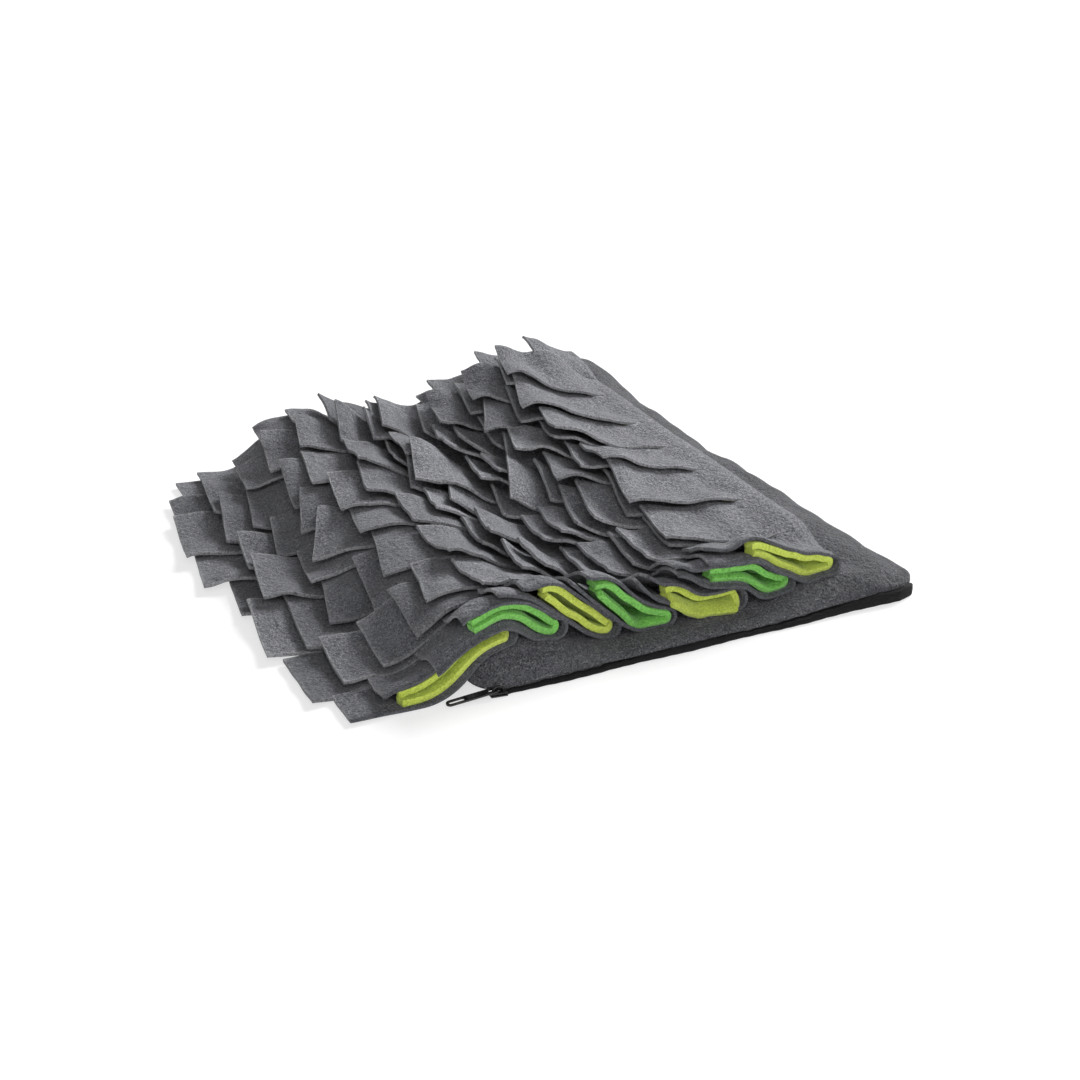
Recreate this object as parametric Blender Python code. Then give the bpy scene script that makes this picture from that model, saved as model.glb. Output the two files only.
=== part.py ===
"""A snuffle mat: a soft zipped felt pouch with seven folded, flap-cut felt strips sewn across its top.

Each strip is folded lengthwise into a U whose fold is sewn to the pouch, with a narrower coloured fleece
strip folded inside it. Both halves of a grey strip are cut into eight flaps that lean to the left, every row
on the one before it, and the first rows hang off the pouch's left side down to the surface.

X runs across the pouch, Y from the zip edge to the far end, Z up. The origin is the centre of the pouch's
flat underside. Sizes are in millimetres and are turned into metres where a mesh is made.
"""

import math
from collections import namedtuple
from functools import partial

import bmesh
import bpy
import numpy as np

MM = 0.001

# The pouch.
POUCH_WIDTH = 280.0
POUCH_DEPTH = 362.0
POUCH_CORNER = 17.0
POUCH_EDGE_Z = 5.2
POUCH_LIP = 1.7
POUCH_UNDER_INSET = 9.0
LEFT_ROUND = 13.0
FAR_ROUND = 15.0
FAR_EDGE_DROP = 0.55
LEFT = -POUCH_WIDTH / 2
RIGHT = POUCH_WIDTH / 2
FRONT = -POUCH_DEPTH / 2
FAR = POUCH_DEPTH / 2

# Height of the pouch's top along four lines that run from front to far end, section by section.
CROWN_X = (LEFT + LEFT_ROUND, -50.0, 22.0, 86.0)
CrownSection = namedtuple("CrownSection", "y left_crest valley ridge right_crest")
CROWN = (
    CrownSection(y=-165.0, left_crest=20.0, valley=8.5, ridge=8.0, right_crest=13.0),
    CrownSection(y=-120.0, left_crest=22.0, valley=13.0, ridge=21.0, right_crest=26.0),
    CrownSection(y=0.0, left_crest=21.0, valley=11.0, ridge=26.0, right_crest=31.0),
    CrownSection(y=120.0, left_crest=17.0, valley=9.0, ridge=31.0, right_crest=38.0),
    CrownSection(y=165.0, left_crest=13.0, valley=9.0, ridge=34.0, right_crest=40.0),
)

# The rows, from the left: where the fold lies, how far each half reaches from it, the colour and reach of the
# strip inside, and the steepest slope at which the row falls from what holds it up.
Row = namedtuple("Row", "fold_x lower upper colour inner slope")
ROWS = (
    Row(fold_x=-119.0, lower=112.0, upper=90.0, colour="lime", inner=70.0, slope=1.1),
    Row(fold_x=-89.0, lower=96.0, upper=76.0, colour="green", inner=60.0, slope=0.8),
    Row(fold_x=-55.0, lower=94.0, upper=74.0, colour="lime", inner=56.0, slope=0.9),
    Row(fold_x=-20.0, lower=90.0, upper=72.0, colour="green", inner=56.0, slope=1.1),
    Row(fold_x=24.0, lower=90.0, upper=72.0, colour="lime", inner=56.0, slope=1.1),
    Row(fold_x=57.0, lower=92.0, upper=76.0, colour="green", inner=58.0, slope=1.1),
    Row(fold_x=87.0, lower=92.0, upper=80.0, colour="lime", inner=60.0, slope=1.1),
)

# The eight flaps of every half, from the front: width, and reach as a share of the row's.
Flap = namedtuple("Flap", "width reach")
FLAPS = (
    Flap(width=28.0, reach=0.86),
    Flap(width=43.0, reach=0.98),
    Flap(width=51.0, reach=1.0),
    Flap(width=44.0, reach=1.0),
    Flap(width=44.0, reach=1.02),
    Flap(width=52.0, reach=1.0),
    Flap(width=41.0, reach=0.96),
    Flap(width=40.0, reach=0.86),
)
SLIT = 1.2
ROWS_FRONT = -165.0
ROWS_FAR = 165.0
HANGING_FRONT_SHIFT = 12.0
HANGING_FRONT_START = -70.0
HANGING_FRONT_RUN = 90.0

# The cloth.
FELT = 2.5
FLEECE = 2.0
GAP = 0.6
FLOOR_GAP = 0.2
EDGE_CLEARANCE = 2.0
BEND = 15.0
HOLLOW_BEND = 30.0
FRONT_LOFT = 1.6
FLAP_LENGTH_SPREAD = 4.0
TIP_LIFT = 3.0
TIP_TWIST = 1.6
LIFT_FROM = 0.35
FOLD_BULGE = 2.9
FOLD_WALL = 2.5
FILL_INSET = 4.0
FILL_BULGE = 2.0
FILL_WALL = 1.7
# The fold's round back: its two middle points, as shares of the way from the lower half to the upper one.
BACK = (("back low", 0.3), ("back high", 0.7))
SHARP_ANGLE = math.radians(50.0)
SEED = 7

# Stations across X that every sheet shares, so that sheets laid on each other never cross.
CELLS_PER_PITCH = 2
LEFT_CELLS = 2
RIGHT_CELLS = 3
OVERHANG_CELL = 14.5
OVERHANG_CELLS = 7
TIP_CLEARANCE = 1.5

# The zip.
ZIP_WIDTH = 5.0
ZIP_OFFSET = 1.3
ZIP_Y = FRONT - ZIP_OFFSET
ZIP_HEIGHT = 2.4
ZIP_LEFT = -125.5
ZIP_CORNER = POUCH_CORNER + ZIP_OFFSET
ZIP_TURN = math.radians(62.0)
ZIP_CELLS = 20
ZIP_TURN_CELLS = 6
SLIDER_LENGTH = 9.0
SLIDER_WIDTH = 6.0
SLIDER_HEIGHT = 2.4
SLIDER_ROUND = 0.6
SLIDER_ROUND_SEGMENTS = 2
BRIDGE_LENGTH = 7.0
BRIDGE_WIDTH = 2.0
BRIDGE_RISE = 3.6
BRIDGE_WALL = 1.0
PULL_LENGTH = 29.0
PULL_WIDTH = 5.2
PULL_THICKNESS = 1.1
PULL_EYE = (4.6, 2.9)
PULL_HOLE = (8.0, 2.4)
PULL_WALL = 1.3
PULL_ROUND_SEGMENTS = 6
PULL_TURN = math.radians(177.0)
PULL_TILT = math.radians(5.5)

Finish = namedtuple("Finish", "colour roughness metallic")
FINISHES = {
    "felt": Finish(colour=(0.085, 0.088, 0.096), roughness=0.95, metallic=0.0),
    "lime": Finish(colour=(0.42, 0.56, 0.05), roughness=0.9, metallic=0.0),
    "green": Finish(colour=(0.09, 0.50, 0.05), roughness=0.9, metallic=0.0),
    "tape": Finish(colour=(0.010, 0.010, 0.011), roughness=0.7, metallic=0.0),
    "enamel": Finish(colour=(0.012, 0.012, 0.013), roughness=0.35, metallic=0.3),
}


# ---------------------------------------------------------------------------------------------- scene


def clear_scene():
    for obj in list(bpy.data.objects):
        bpy.data.objects.remove(obj, do_unlink=True)


def material(name):
    finish = FINISHES[name]
    made = bpy.data.materials.get(name)
    if made is None:
        made = bpy.data.materials.new(name)
        made.use_nodes = True
        shader = made.node_tree.nodes["Principled BSDF"]
        shader.inputs["Base Color"].default_value = (*finish.colour, 1.0)
        shader.inputs["Roughness"].default_value = finish.roughness
        shader.inputs["Metallic"].default_value = finish.metallic
    return made


def add_object(name, bm, finish, parent):
    """Turns a bmesh in millimetres into a named object, shaded smooth except at its cut edges."""
    bmesh.ops.scale(bm, vec=(MM, MM, MM), verts=bm.verts)
    mesh = bpy.data.meshes.new(name)
    bm.to_mesh(mesh)
    bm.free()
    mesh.shade_smooth()
    mesh.set_sharp_from_angle(angle=SHARP_ANGLE)
    mesh.materials.append(material(finish))
    obj = bpy.data.objects.new(name, mesh)
    obj.parent = parent
    bpy.context.scene.collection.objects.link(obj)
    return obj


# ------------------------------------------------------------------------------------------- stations


def smooth(t):
    t = np.clip(t, 0.0, 1.0)
    return t * t * (3.0 - 2.0 * t)


def station_positions():
    """X of every shared station, from beyond the longest hanging flap to the pouch's right edge."""
    overhang = [LEFT - OVERHANG_CELL * n for n in range(OVERHANG_CELLS, 0, -1)]
    knots = [LEFT, *(row.fold_x for row in ROWS), RIGHT]
    cells = [LEFT_CELLS, *([CELLS_PER_PITCH] * (len(ROWS) - 1)), RIGHT_CELLS]
    inside = []
    for start, end, count in zip(knots, knots[1:], cells):
        inside.extend(start + (end - start) * n / count for n in range(count))
    return np.array([*overhang, *inside, RIGHT])


def fold_station(row_index):
    return OVERHANG_CELLS + LEFT_CELLS + CELLS_PER_PITCH * row_index


def rows_front(x):
    """Y of the rows' front ends: the hanging rows reach a little further forward."""
    return ROWS_FRONT - HANGING_FRONT_SHIFT * smooth((HANGING_FRONT_START - x) / HANGING_FRONT_RUN)


def slit_fractions():
    """Where the strip's ends and slits lie along it, as shares of its length."""
    edges = np.concatenate([[0.0], np.cumsum([flap.width for flap in FLAPS])])
    return edges / edges[-1]


def slit_centres(x):
    """Y of the strip's front end, of its seven slits and of its far end, at this X."""
    front = rows_front(x)
    return front + (ROWS_FAR - front) * slit_fractions()


def flap_edges(x):
    """Y of both side edges of each of the eight flaps, at this X."""
    centres = slit_centres(x)
    half = SLIT / 2
    near = centres[:-1] + half
    away = centres[1:] - half
    near[0] = centres[0]
    away[-1] = centres[-1]
    return np.stack([near, away], axis=1).ravel()


def column_y(edges, column, x):
    """Y of one column of edges at this X."""
    return edges(x)[column]


# ---------------------------------------------------------------------------------------------- pouch


def crown(x, y):
    """Height of the pouch's top, before its edges draw in."""
    heights = np.array([section[1:] for section in CROWN])
    levels = np.array([section.y for section in CROWN])
    row = int(np.clip(np.searchsorted(levels, y) - 1, 0, len(levels) - 2))
    along = smooth((y - levels[row]) / (levels[row + 1] - levels[row]))
    profile = heights[row] * (1.0 - along) + heights[row + 1] * along
    column = int(np.clip(np.searchsorted(CROWN_X, x) - 1, 0, len(CROWN_X) - 2))
    across = smooth((x - CROWN_X[column]) / (CROWN_X[column + 1] - CROWN_X[column]))
    return profile[column] * (1.0 - across) + profile[column + 1] * across


def pouch_top(x, y):
    """Height of the pouch's top: the crown, rounded off on the left and far sides, sloped on the others."""
    left = 1.0 - np.clip((CROWN_X[0] - x) / LEFT_ROUND, 0.0, 1.0) ** 2
    right = 1.0 - smooth((x - CROWN_X[-1]) / (RIGHT - CROWN_X[-1]))
    front = 1.0 - np.clip((ROWS_FRONT - y) / (ROWS_FRONT - FRONT), 0.0, 1.0) ** 2
    far = 1.0 - FAR_EDGE_DROP * np.clip((y - ROWS_FAR) / FAR_ROUND, 0.0, 1.0) ** 2
    share = math.sqrt(left) * right * front * far
    return POUCH_EDGE_Z + (crown(x, y) - POUCH_EDGE_Z) * share


def on_outline(x, y, inset=0.0):
    """The point of the pouch's round-cornered outline that a point of its rectangle's edge goes to."""
    centre_x = np.clip(x, LEFT + POUCH_CORNER, RIGHT - POUCH_CORNER)
    centre_y = np.clip(y, FRONT + POUCH_CORNER, FAR - POUCH_CORNER)
    scale = (POUCH_CORNER - inset) / math.hypot(x - centre_x, y - centre_y)
    return centre_x + (x - centre_x) * scale, centre_y + (y - centre_y) * scale


def make_pouch(stations, parent):
    """One filled solid: a crowned top, a thin lip all round, and a flat underside smaller than the top."""
    xs = stations[OVERHANG_CELLS:]
    bm = bmesh.new()
    grid = []
    for x in xs:
        column = []
        front_middle = (FRONT + rows_front(x)) / 2
        far_middle = (FAR + ROWS_FAR) / 2
        for y in (FRONT, front_middle, *slit_centres(x), far_middle, FAR):
            column.append(bm.verts.new((x, y, pouch_top(x, y))))
        grid.append(column)
    last_x, last_y = len(grid) - 1, len(grid[0]) - 1
    border = [(i, 0) for i in range(last_x)]
    border += [(last_x, j) for j in range(last_y)]
    border += [(i, last_y) for i in range(last_x, 0, -1)]
    border += [(0, j) for j in range(last_y, 0, -1)]
    for i in range(last_x):
        for j in range(last_y):
            a, b, c, d = grid[i][j], grid[i + 1][j], grid[i + 1][j + 1], grid[i][j + 1]
            bm.faces.new((a, b, c))
            bm.faces.new((a, c, d))
    top = [grid[i][j] for i, j in border]
    under = [bm.verts.new((*on_outline(*vert.co.xy, POUCH_UNDER_INSET), 0.0)) for vert in top]
    for vert in top:
        vert.co.xy = on_outline(*vert.co.xy)
    lip = [bm.verts.new((*vert.co.xy, vert.co.z - POUCH_LIP)) for vert in top]
    for upper, lower in ((top, lip), (lip, under)):
        for n in range(len(upper)):
            m = (n + 1) % len(upper)
            bm.faces.new((upper[m], upper[n], lower[n], lower[m]))
    bm.faces.new(under[::-1])
    return add_object("pouch", bm, "felt", parent)


# --------------------------------------------------------------------------------------- laying cloth


def fall(distance, slope):
    """How far a sheet drops at this distance from what holds it up: a round bend, then a straight slope."""
    run = np.abs(distance)
    bend_run = BEND * slope
    return np.where(run < bend_run, run**2 / (2 * BEND), slope * (run - bend_run / 2))


def settle(under, stations, slope):
    """Underside of a sheet laid on these heights: it clears them, bends round them, bridges hollows."""
    rise = under[None, :] + GAP - fall(stations[:, None] - stations[None, :], slope)
    laid = rise.max(axis=1)
    allowed = np.diff(stations)[1:] * np.diff(stations)[:-1] / (2 * HOLLOW_BEND)
    laid[1:-1] = np.maximum(laid[1:-1], (laid[:-2] + laid[2:]) / 2 - allowed)
    return laid


def upright_thickness(laid, stations, thickness):
    """The cloth's thickness measured straight up, which grows where it slopes."""
    slope = np.gradient(laid, stations)
    return thickness * np.sqrt(1.0 + slope**2)


def arc_from_fold(laid, stations, fold):
    """Length of cloth between each station and the fold, measured along the sheet."""
    steps = np.hypot(np.diff(stations), np.diff(laid))
    length = np.zeros_like(stations)
    length[:fold] = np.cumsum(steps[:fold][::-1])[::-1]
    return length


def tip_position(arc, stations, fold, length):
    """X where the cloth ends, kept a little way inside a cell of the stations."""
    tip = float(np.interp(-length, -arc[: fold + 1], stations[: fold + 1]))
    cell = int(np.searchsorted(stations, tip)) - 1
    return cell, float(np.clip(tip, stations[cell] + TIP_CLEARANCE, stations[cell + 1] - TIP_CLEARANCE))


Layer = namedtuple("Layer", "bottom top tip_cell tip_x")


def lay_sheet(under, stations, fold, thickness, length, slope, lift=(0.0, 0.0), loft=0.0):
    """Lays one flap or one strip on the heights in under, whose columns are its Y edges.

    lift raises the free end at the first and last column, and loft holds the whole sheet up.
    """
    count = under.shape[1]
    bottom = np.stack([settle(under[:, n], stations, slope) + loft for n in range(count)], axis=1)
    arc = arc_from_fold(bottom.mean(axis=1), stations, fold)
    tip_cell, tip_x = tip_position(arc, stations, fold, length)
    share = np.clip((arc / length - LIFT_FROM) / (1.0 - LIFT_FROM), 0.0, 1.0) ** 2
    raise_by = np.linspace(lift[0], lift[1], count)
    bottom += share[:, None] * raise_by[None, :]
    rise = np.stack([upright_thickness(bottom[:, n], stations, thickness) for n in range(count)], axis=1)
    return Layer(bottom, bottom + rise, tip_cell, tip_x)


def stack_on(heights, layer, columns, fold):
    """Raises the surface that the next sheet will lie on."""
    reach = slice(layer.tip_cell, fold + 1)
    for n, column in enumerate(columns):
        heights[reach, column] = np.maximum(heights[reach, column], layer.top[reach, n])


# --------------------------------------------------------------------------------- folded strip meshes


class FoldedSheet:
    """A closed solid made of an outer skin, drawn face by face, and its extruded and shifted inner skin."""

    def __init__(self):
        self.bm = bmesh.new()
        self.tag = self.bm.verts.layers.int.new("node")
        self.outer = {}
        self.inner_positions = []

    def node(self, key, outer, inner):
        if key not in self.outer:
            vert = self.bm.verts.new(outer)
            vert[self.tag] = len(self.inner_positions)
            self.inner_positions.append(inner)
            self.outer[key] = vert
        return key

    def cell(self, near, away, next_away, next_near, crossed):
        """Two triangles between two columns, split along the same diagonal seen from above on both halves."""
        a, b, c, d = (self.outer[key] for key in (near, away, next_away, next_near))
        if crossed:
            self.bm.faces.new((a, b, d))
            self.bm.faces.new((b, c, d))
        else:
            self.bm.faces.new((a, b, c))
            self.bm.faces.new((a, c, d))

    def close(self):
        made = bmesh.ops.extrude_face_region(self.bm, geom=self.bm.faces[:], use_keep_orig=True)
        for vert in made["geom"]:
            if isinstance(vert, bmesh.types.BMVert):
                vert.co = self.inner_positions[vert[self.tag]]
        bmesh.ops.recalc_face_normals(self.bm, faces=self.bm.faces[:])
        return self.bm


def between(values, stations, cell, x, column):
    """Height at X inside a cell, on one column."""
    share = (x - stations[cell]) / (stations[cell + 1] - stations[cell])
    return values[cell, column] * (1.0 - share) + values[cell + 1, column] * share


Half = namedtuple("Half", "layer column")
Fold = namedtuple("Fold", "station x bulge wall")


def strip_path(sheet, key, y_of, stations, fold, lower, upper):
    """Adds the nodes of one column, from the lower half's tip round the fold to the upper half's tip."""
    path = []
    fold_cell = fold.station if fold.x > stations[fold.station] else fold.station - 1

    def add(name, x, outer_z, inner_x, inner_z, crossed):
        y = y_of(min(x, fold.x))
        path.append((sheet.node((key, name), (x, y, outer_z), (inner_x, y, inner_z)), crossed))

    def skins(part, cell, x):
        bottom = between(part.layer.bottom, stations, cell, x, part.column)
        return bottom, between(part.layer.top, stations, cell, x, part.column)

    def stops(layer):
        found = [("tip", layer.tip_cell, layer.tip_x)]
        found += [(i, i, stations[i]) for i in range(layer.tip_cell + 1, fold.station + 1)]
        if fold.x > stations[fold.station]:
            found.append(("fold", fold.station, fold.x))
        return found

    for name, cell, x in stops(lower.layer):
        low, high = skins(lower, cell, x)
        add(("lower", name), x, low, x, high, False)
    low, low_inner = skins(lower, fold_cell, fold.x)
    high_inner, high = skins(upper, fold_cell, fold.x)
    for name, share in BACK:
        outer_z = low + (high - low) * share
        inner_z = low_inner + (high_inner - low_inner) * share
        add(name, fold.x + fold.bulge, outer_z, fold.x + fold.bulge - fold.wall, inner_z, False)
    for name, cell, x in reversed(stops(upper.layer)):
        low, high = skins(upper, cell, x)
        add(("upper", name), x, high, x, low, True)
    return path


def join_columns(sheet, near, away):
    for (a, _), (b, _), (c, _), (d, crossed) in zip(near, away, away[1:], near[1:]):
        sheet.cell(a, b, c, d, crossed)


def root_of(path, root_stations):
    """The part of a path that stays uncut: everything between the two root lines."""
    keys = [key[1] for key, _ in path]
    first = keys.index(("lower", root_stations))
    last = keys.index(("upper", root_stations))
    return path[first : last + 1]


def make_comb(name, stations, fold, flaps, parent):
    """The grey strip: eight flaps on each side of the fold, cut to one cell from it."""
    sheet = FoldedSheet()
    back = Fold(fold, stations[fold], FOLD_BULGE, FOLD_WALL)
    paths = []
    for index, (lower, upper) in enumerate(flaps):
        for side in (0, 1):
            column = 2 * index + side
            halves = (Half(lower, side), Half(upper, side))
            edge_y = partial(column_y, flap_edges, column)
            paths.append(strip_path(sheet, column, edge_y, stations, back, *halves))
    for index in range(len(flaps)):
        join_columns(sheet, paths[2 * index], paths[2 * index + 1])
        if index + 1 < len(flaps):
            near = root_of(paths[2 * index + 1], fold - 1)
            join_columns(sheet, near, root_of(paths[2 * index + 2], fold - 1))
    return add_object(name, sheet.close(), "felt", parent)


def make_fill(name, stations, fold, lower, upper, finish, parent):
    """The coloured strip: one uncut sheet folded inside the grey one."""
    sheet = FoldedSheet()
    back = Fold(fold - 1, stations[fold] - FILL_INSET, FILL_BULGE, FILL_WALL)
    paths = []
    for column in range(lower.bottom.shape[1]):
        halves = (Half(lower, column), Half(upper, column))
        edge_y = partial(column_y, slit_centres, column)
        paths.append(strip_path(sheet, column, edge_y, stations, back, *halves))
    for near, away in zip(paths, paths[1:]):
        join_columns(sheet, near, away)
    return add_object(name, sheet.close(), finish, parent)


# ----------------------------------------------------------------------------------------------- rows


def first_heights(stations):
    """What the first row lies on, at every station and flap edge: the pouch, and the surface to its left."""
    heights = np.full((len(stations), 2 * len(FLAPS)), FLOOR_GAP - GAP)
    for i, x in enumerate(stations):
        if x < LEFT:
            continue
        clearance = EDGE_CLEARANCE * smooth((ROWS[0].fold_x - x) / (ROWS[0].fold_x - LEFT))
        for column, y in enumerate(flap_edges(x)):
            heights[i, column] = pouch_top(x, y) + clearance
    return heights


def lay_flaps(heights, stations, fold, length, slope, dice):
    """Lays the eight flaps of one half of a grey strip and returns them."""
    flaps = []
    for index, flap in enumerate(FLAPS):
        columns = (2 * index, 2 * index + 1)
        lift = dice.uniform(0.0, TIP_LIFT)
        twist = dice.uniform(-TIP_TWIST, TIP_TWIST)
        reach = length * flap.reach + dice.uniform(-FLAP_LENGTH_SPREAD, FLAP_LENGTH_SPREAD)
        ends = (max(0.0, lift + twist), max(0.0, lift - twist))
        layer = lay_sheet(heights[:, columns], stations, fold, FELT, reach, slope, lift=ends)
        flaps.append(layer)
        stack_on(heights, layer, columns, fold)
    return flaps


def lay_fill_half(heights, stations, fold, length, slope, loft):
    """Lays one half of a coloured strip and returns it. Its columns are the slits' centres."""
    count = len(FLAPS)
    at_slits = [heights[:, max(0, 2 * n - 1) : 2 * n + 1].max(axis=1) for n in range(count)]
    under = np.stack([*at_slits, heights[:, -1]], axis=1)
    layer = lay_sheet(under, stations, fold, FLEECE, length, slope, loft=loft)
    both = Layer(layer.bottom, np.repeat(layer.top, 2, axis=1)[:, 1:-1], layer.tip_cell, layer.tip_x)
    stack_on(heights, both, range(2 * count), fold)
    return layer


def make_rows(stations, parent):
    """Lays the rows one on another, from the left, and makes each strip's mesh."""
    dice = np.random.default_rng(SEED)
    heights = first_heights(stations)
    for number, row in enumerate(ROWS, start=1):
        fold = fold_station(number - 1)
        lower = lay_flaps(heights, stations, fold, row.lower, row.slope, dice)
        inner_lower = lay_fill_half(heights, stations, fold, row.inner, row.slope, 0.0)
        inner_upper = lay_fill_half(heights, stations, fold, row.inner, row.slope, FRONT_LOFT)
        upper = lay_flaps(heights, stations, fold, row.upper, row.slope, dice)
        make_fill(f"fill_{number}", stations, fold, inner_lower, inner_upper, row.colour, parent)
        make_comb(f"row_{number}", stations, fold, list(zip(lower, upper)), parent)


# ------------------------------------------------------------------------------------------------ zip


def extrude_up(bm, height):
    """Gives the flat faces in a bmesh a height, as one closed solid."""
    made = bmesh.ops.extrude_face_region(bm, geom=bm.faces[:], use_keep_orig=True)
    moved = [item for item in made["geom"] if isinstance(item, bmesh.types.BMVert)]
    bmesh.ops.translate(bm, vec=(0.0, 0.0, height), verts=moved)
    bmesh.ops.recalc_face_normals(bm, faces=bm.faces[:])


def zip_line():
    """Centre points and sideways directions of the zip, along the front edge and round the right corner."""
    centre = (RIGHT - POUCH_CORNER, FRONT + POUCH_CORNER)
    points = []
    for n in range(ZIP_CELLS + 1):
        x = ZIP_LEFT + (centre[0] - ZIP_LEFT) * n / ZIP_CELLS
        points.append(((x, ZIP_Y), (0.0, 1.0)))
    for n in range(1, ZIP_TURN_CELLS + 1):
        turn = ZIP_TURN * n / ZIP_TURN_CELLS
        inward = (-math.sin(turn), math.cos(turn))
        points.append(((centre[0] - ZIP_CORNER * inward[0], centre[1] - ZIP_CORNER * inward[1]), inward))
    return points


def make_zip_tape(parent):
    bm = bmesh.new()
    sides = []
    for (x, y), inward in zip_line():
        pair = []
        for reach in (-ZIP_WIDTH / 2, ZIP_WIDTH / 2):
            pair.append(bm.verts.new((x + inward[0] * reach, y + inward[1] * reach, FLOOR_GAP)))
        sides.append(pair)
    for first, second in zip(sides, sides[1:]):
        bm.faces.new((first[0], second[0], second[1], first[1]))
    extrude_up(bm, ZIP_HEIGHT)
    return add_object("zip_tape", bm, "tape", parent)


def rounded_outline(bm, length, width):
    """A flat oval face centred on the origin, its long axis along X."""
    verts = []
    radius = width / 2
    for side in (1, -1):
        for n in range(PULL_ROUND_SEGMENTS + 1):
            angle = side * math.pi / 2 - math.pi * n / PULL_ROUND_SEGMENTS
            x = side * (length / 2 - radius) + radius * math.cos(angle)
            verts.append(bm.verts.new((x, radius * math.sin(angle), 0.0)))
    return bm.faces.new(verts)


def add_cutter(name, bm, parent):
    cutter = add_object(name, bm, "enamel", parent)
    cutter.hide_render = True
    cutter.display_type = "WIRE"
    return cutter


def combine(obj, other, operation):
    modifier = obj.modifiers.new(other.name, "BOOLEAN")
    modifier.operation = operation
    modifier.object = other
    modifier.solver = "EXACT"


def make_slider(parent):
    """The slider's body at the zip's left end, with the arch that its puller hangs on."""
    centre_x = ZIP_LEFT - GAP - SLIDER_LENGTH / 2
    bm = bmesh.new()
    bmesh.ops.create_cube(bm, size=1.0)
    bmesh.ops.scale(bm, vec=(SLIDER_LENGTH, SLIDER_WIDTH, SLIDER_HEIGHT), verts=bm.verts)
    bmesh.ops.bevel(
        bm,
        geom=bm.edges[:],
        offset=SLIDER_ROUND,
        segments=SLIDER_ROUND_SEGMENTS,
        profile=0.5,
        affect="EDGES",
        material=-1,
    )
    bmesh.ops.translate(bm, vec=(centre_x, ZIP_Y, FLOOR_GAP + SLIDER_HEIGHT / 2), verts=bm.verts)
    body = add_object("zip_slider", bm, "enamel", parent)

    arch = bmesh.new()
    bmesh.ops.create_cube(arch, size=1.0)
    bmesh.ops.scale(arch, vec=(BRIDGE_LENGTH, BRIDGE_WIDTH, BRIDGE_RISE), verts=arch.verts)
    bmesh.ops.translate(
        arch, vec=(centre_x, ZIP_Y, FLOOR_GAP + SLIDER_HEIGHT + BRIDGE_RISE / 2 - GAP), verts=arch.verts
    )
    combine(body, add_cutter("arch_form", arch, parent), "UNION")

    hollow = bmesh.new()
    bmesh.ops.create_cube(hollow, size=1.0)
    size = (BRIDGE_LENGTH - 2 * BRIDGE_WALL, BRIDGE_WIDTH * 2, BRIDGE_RISE - BRIDGE_WALL - GAP)
    bmesh.ops.scale(hollow, vec=size, verts=hollow.verts)
    bmesh.ops.translate(
        hollow, vec=(centre_x, ZIP_Y, FLOOR_GAP + SLIDER_HEIGHT + size[2] / 2), verts=hollow.verts
    )
    combine(body, add_cutter("arch_hollow", hollow, parent), "DIFFERENCE")
    return body


def make_pull(parent):
    """The puller: a thin plate with an eye on the slider's arch and an oval hole near its free end."""
    bm = bmesh.new()
    rounded_outline(bm, PULL_LENGTH, PULL_WIDTH)
    extrude_up(bm, PULL_THICKNESS)
    plate = add_object("zip_pull", bm, "enamel", parent)
    holes = (
        ("eye_form", PULL_EYE, -PULL_LENGTH / 2 + PULL_WALL + PULL_EYE[0] / 2),
        ("hole_form", PULL_HOLE, PULL_LENGTH / 2 - PULL_WALL - PULL_HOLE[0] / 2),
    )
    arch_x = ZIP_LEFT - GAP - SLIDER_LENGTH / 2 - BRIDGE_LENGTH / 2 + BRIDGE_WALL / 2
    eye_z = FLOOR_GAP + SLIDER_HEIGHT + GAP / 2
    placed = [plate]
    for name, (length, width), at_x in holes:
        hole = bmesh.new()
        rounded_outline(hole, length, width)
        extrude_up(hole, PULL_THICKNESS * 3)
        bmesh.ops.translate(hole, vec=(at_x, 0.0, -PULL_THICKNESS), verts=hole.verts)
        cutter = add_cutter(name, hole, parent)
        combine(plate, cutter, "DIFFERENCE")
        placed.append(cutter)
    reach = -holes[0][2]
    for obj in placed:
        obj.rotation_euler = (0.0, PULL_TILT, PULL_TURN)
        obj.location = (
            (arch_x + reach * math.cos(PULL_TURN)) * MM,
            (ZIP_Y + reach * math.sin(PULL_TURN)) * MM,
            (eye_z - reach * math.sin(PULL_TILT)) * MM,
        )
    return plate


# ----------------------------------------------------------------------------------------------- whole


def main():
    clear_scene()
    mat = bpy.data.objects.new("snuffle_mat", None)
    bpy.context.scene.collection.objects.link(mat)
    stations = station_positions()
    make_pouch(stations, mat)
    make_rows(stations, mat)
    make_zip_tape(mat)
    make_slider(mat)
    make_pull(mat)


main()
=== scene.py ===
"""Snuffle mat: seven folded felt strips, cut into flaps, sewn in rows across a soft zipped felt pouch.

The flaps are laid one by one, as on the real mat. Each flap is a small patch of cloth that falls on the
heights of everything laid before it, bends round what holds it up, bridges what it can't follow, and is then
lifted, turned, waved and curled a little. Sizes are in millimetres until a mesh is made.
"""

import logging
import math
from collections.abc import Callable, Sequence
from dataclasses import dataclass, field, replace
from enum import Enum

import bmesh
import bpy
import numpy as np
from mathutils import Matrix, Vector

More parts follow.
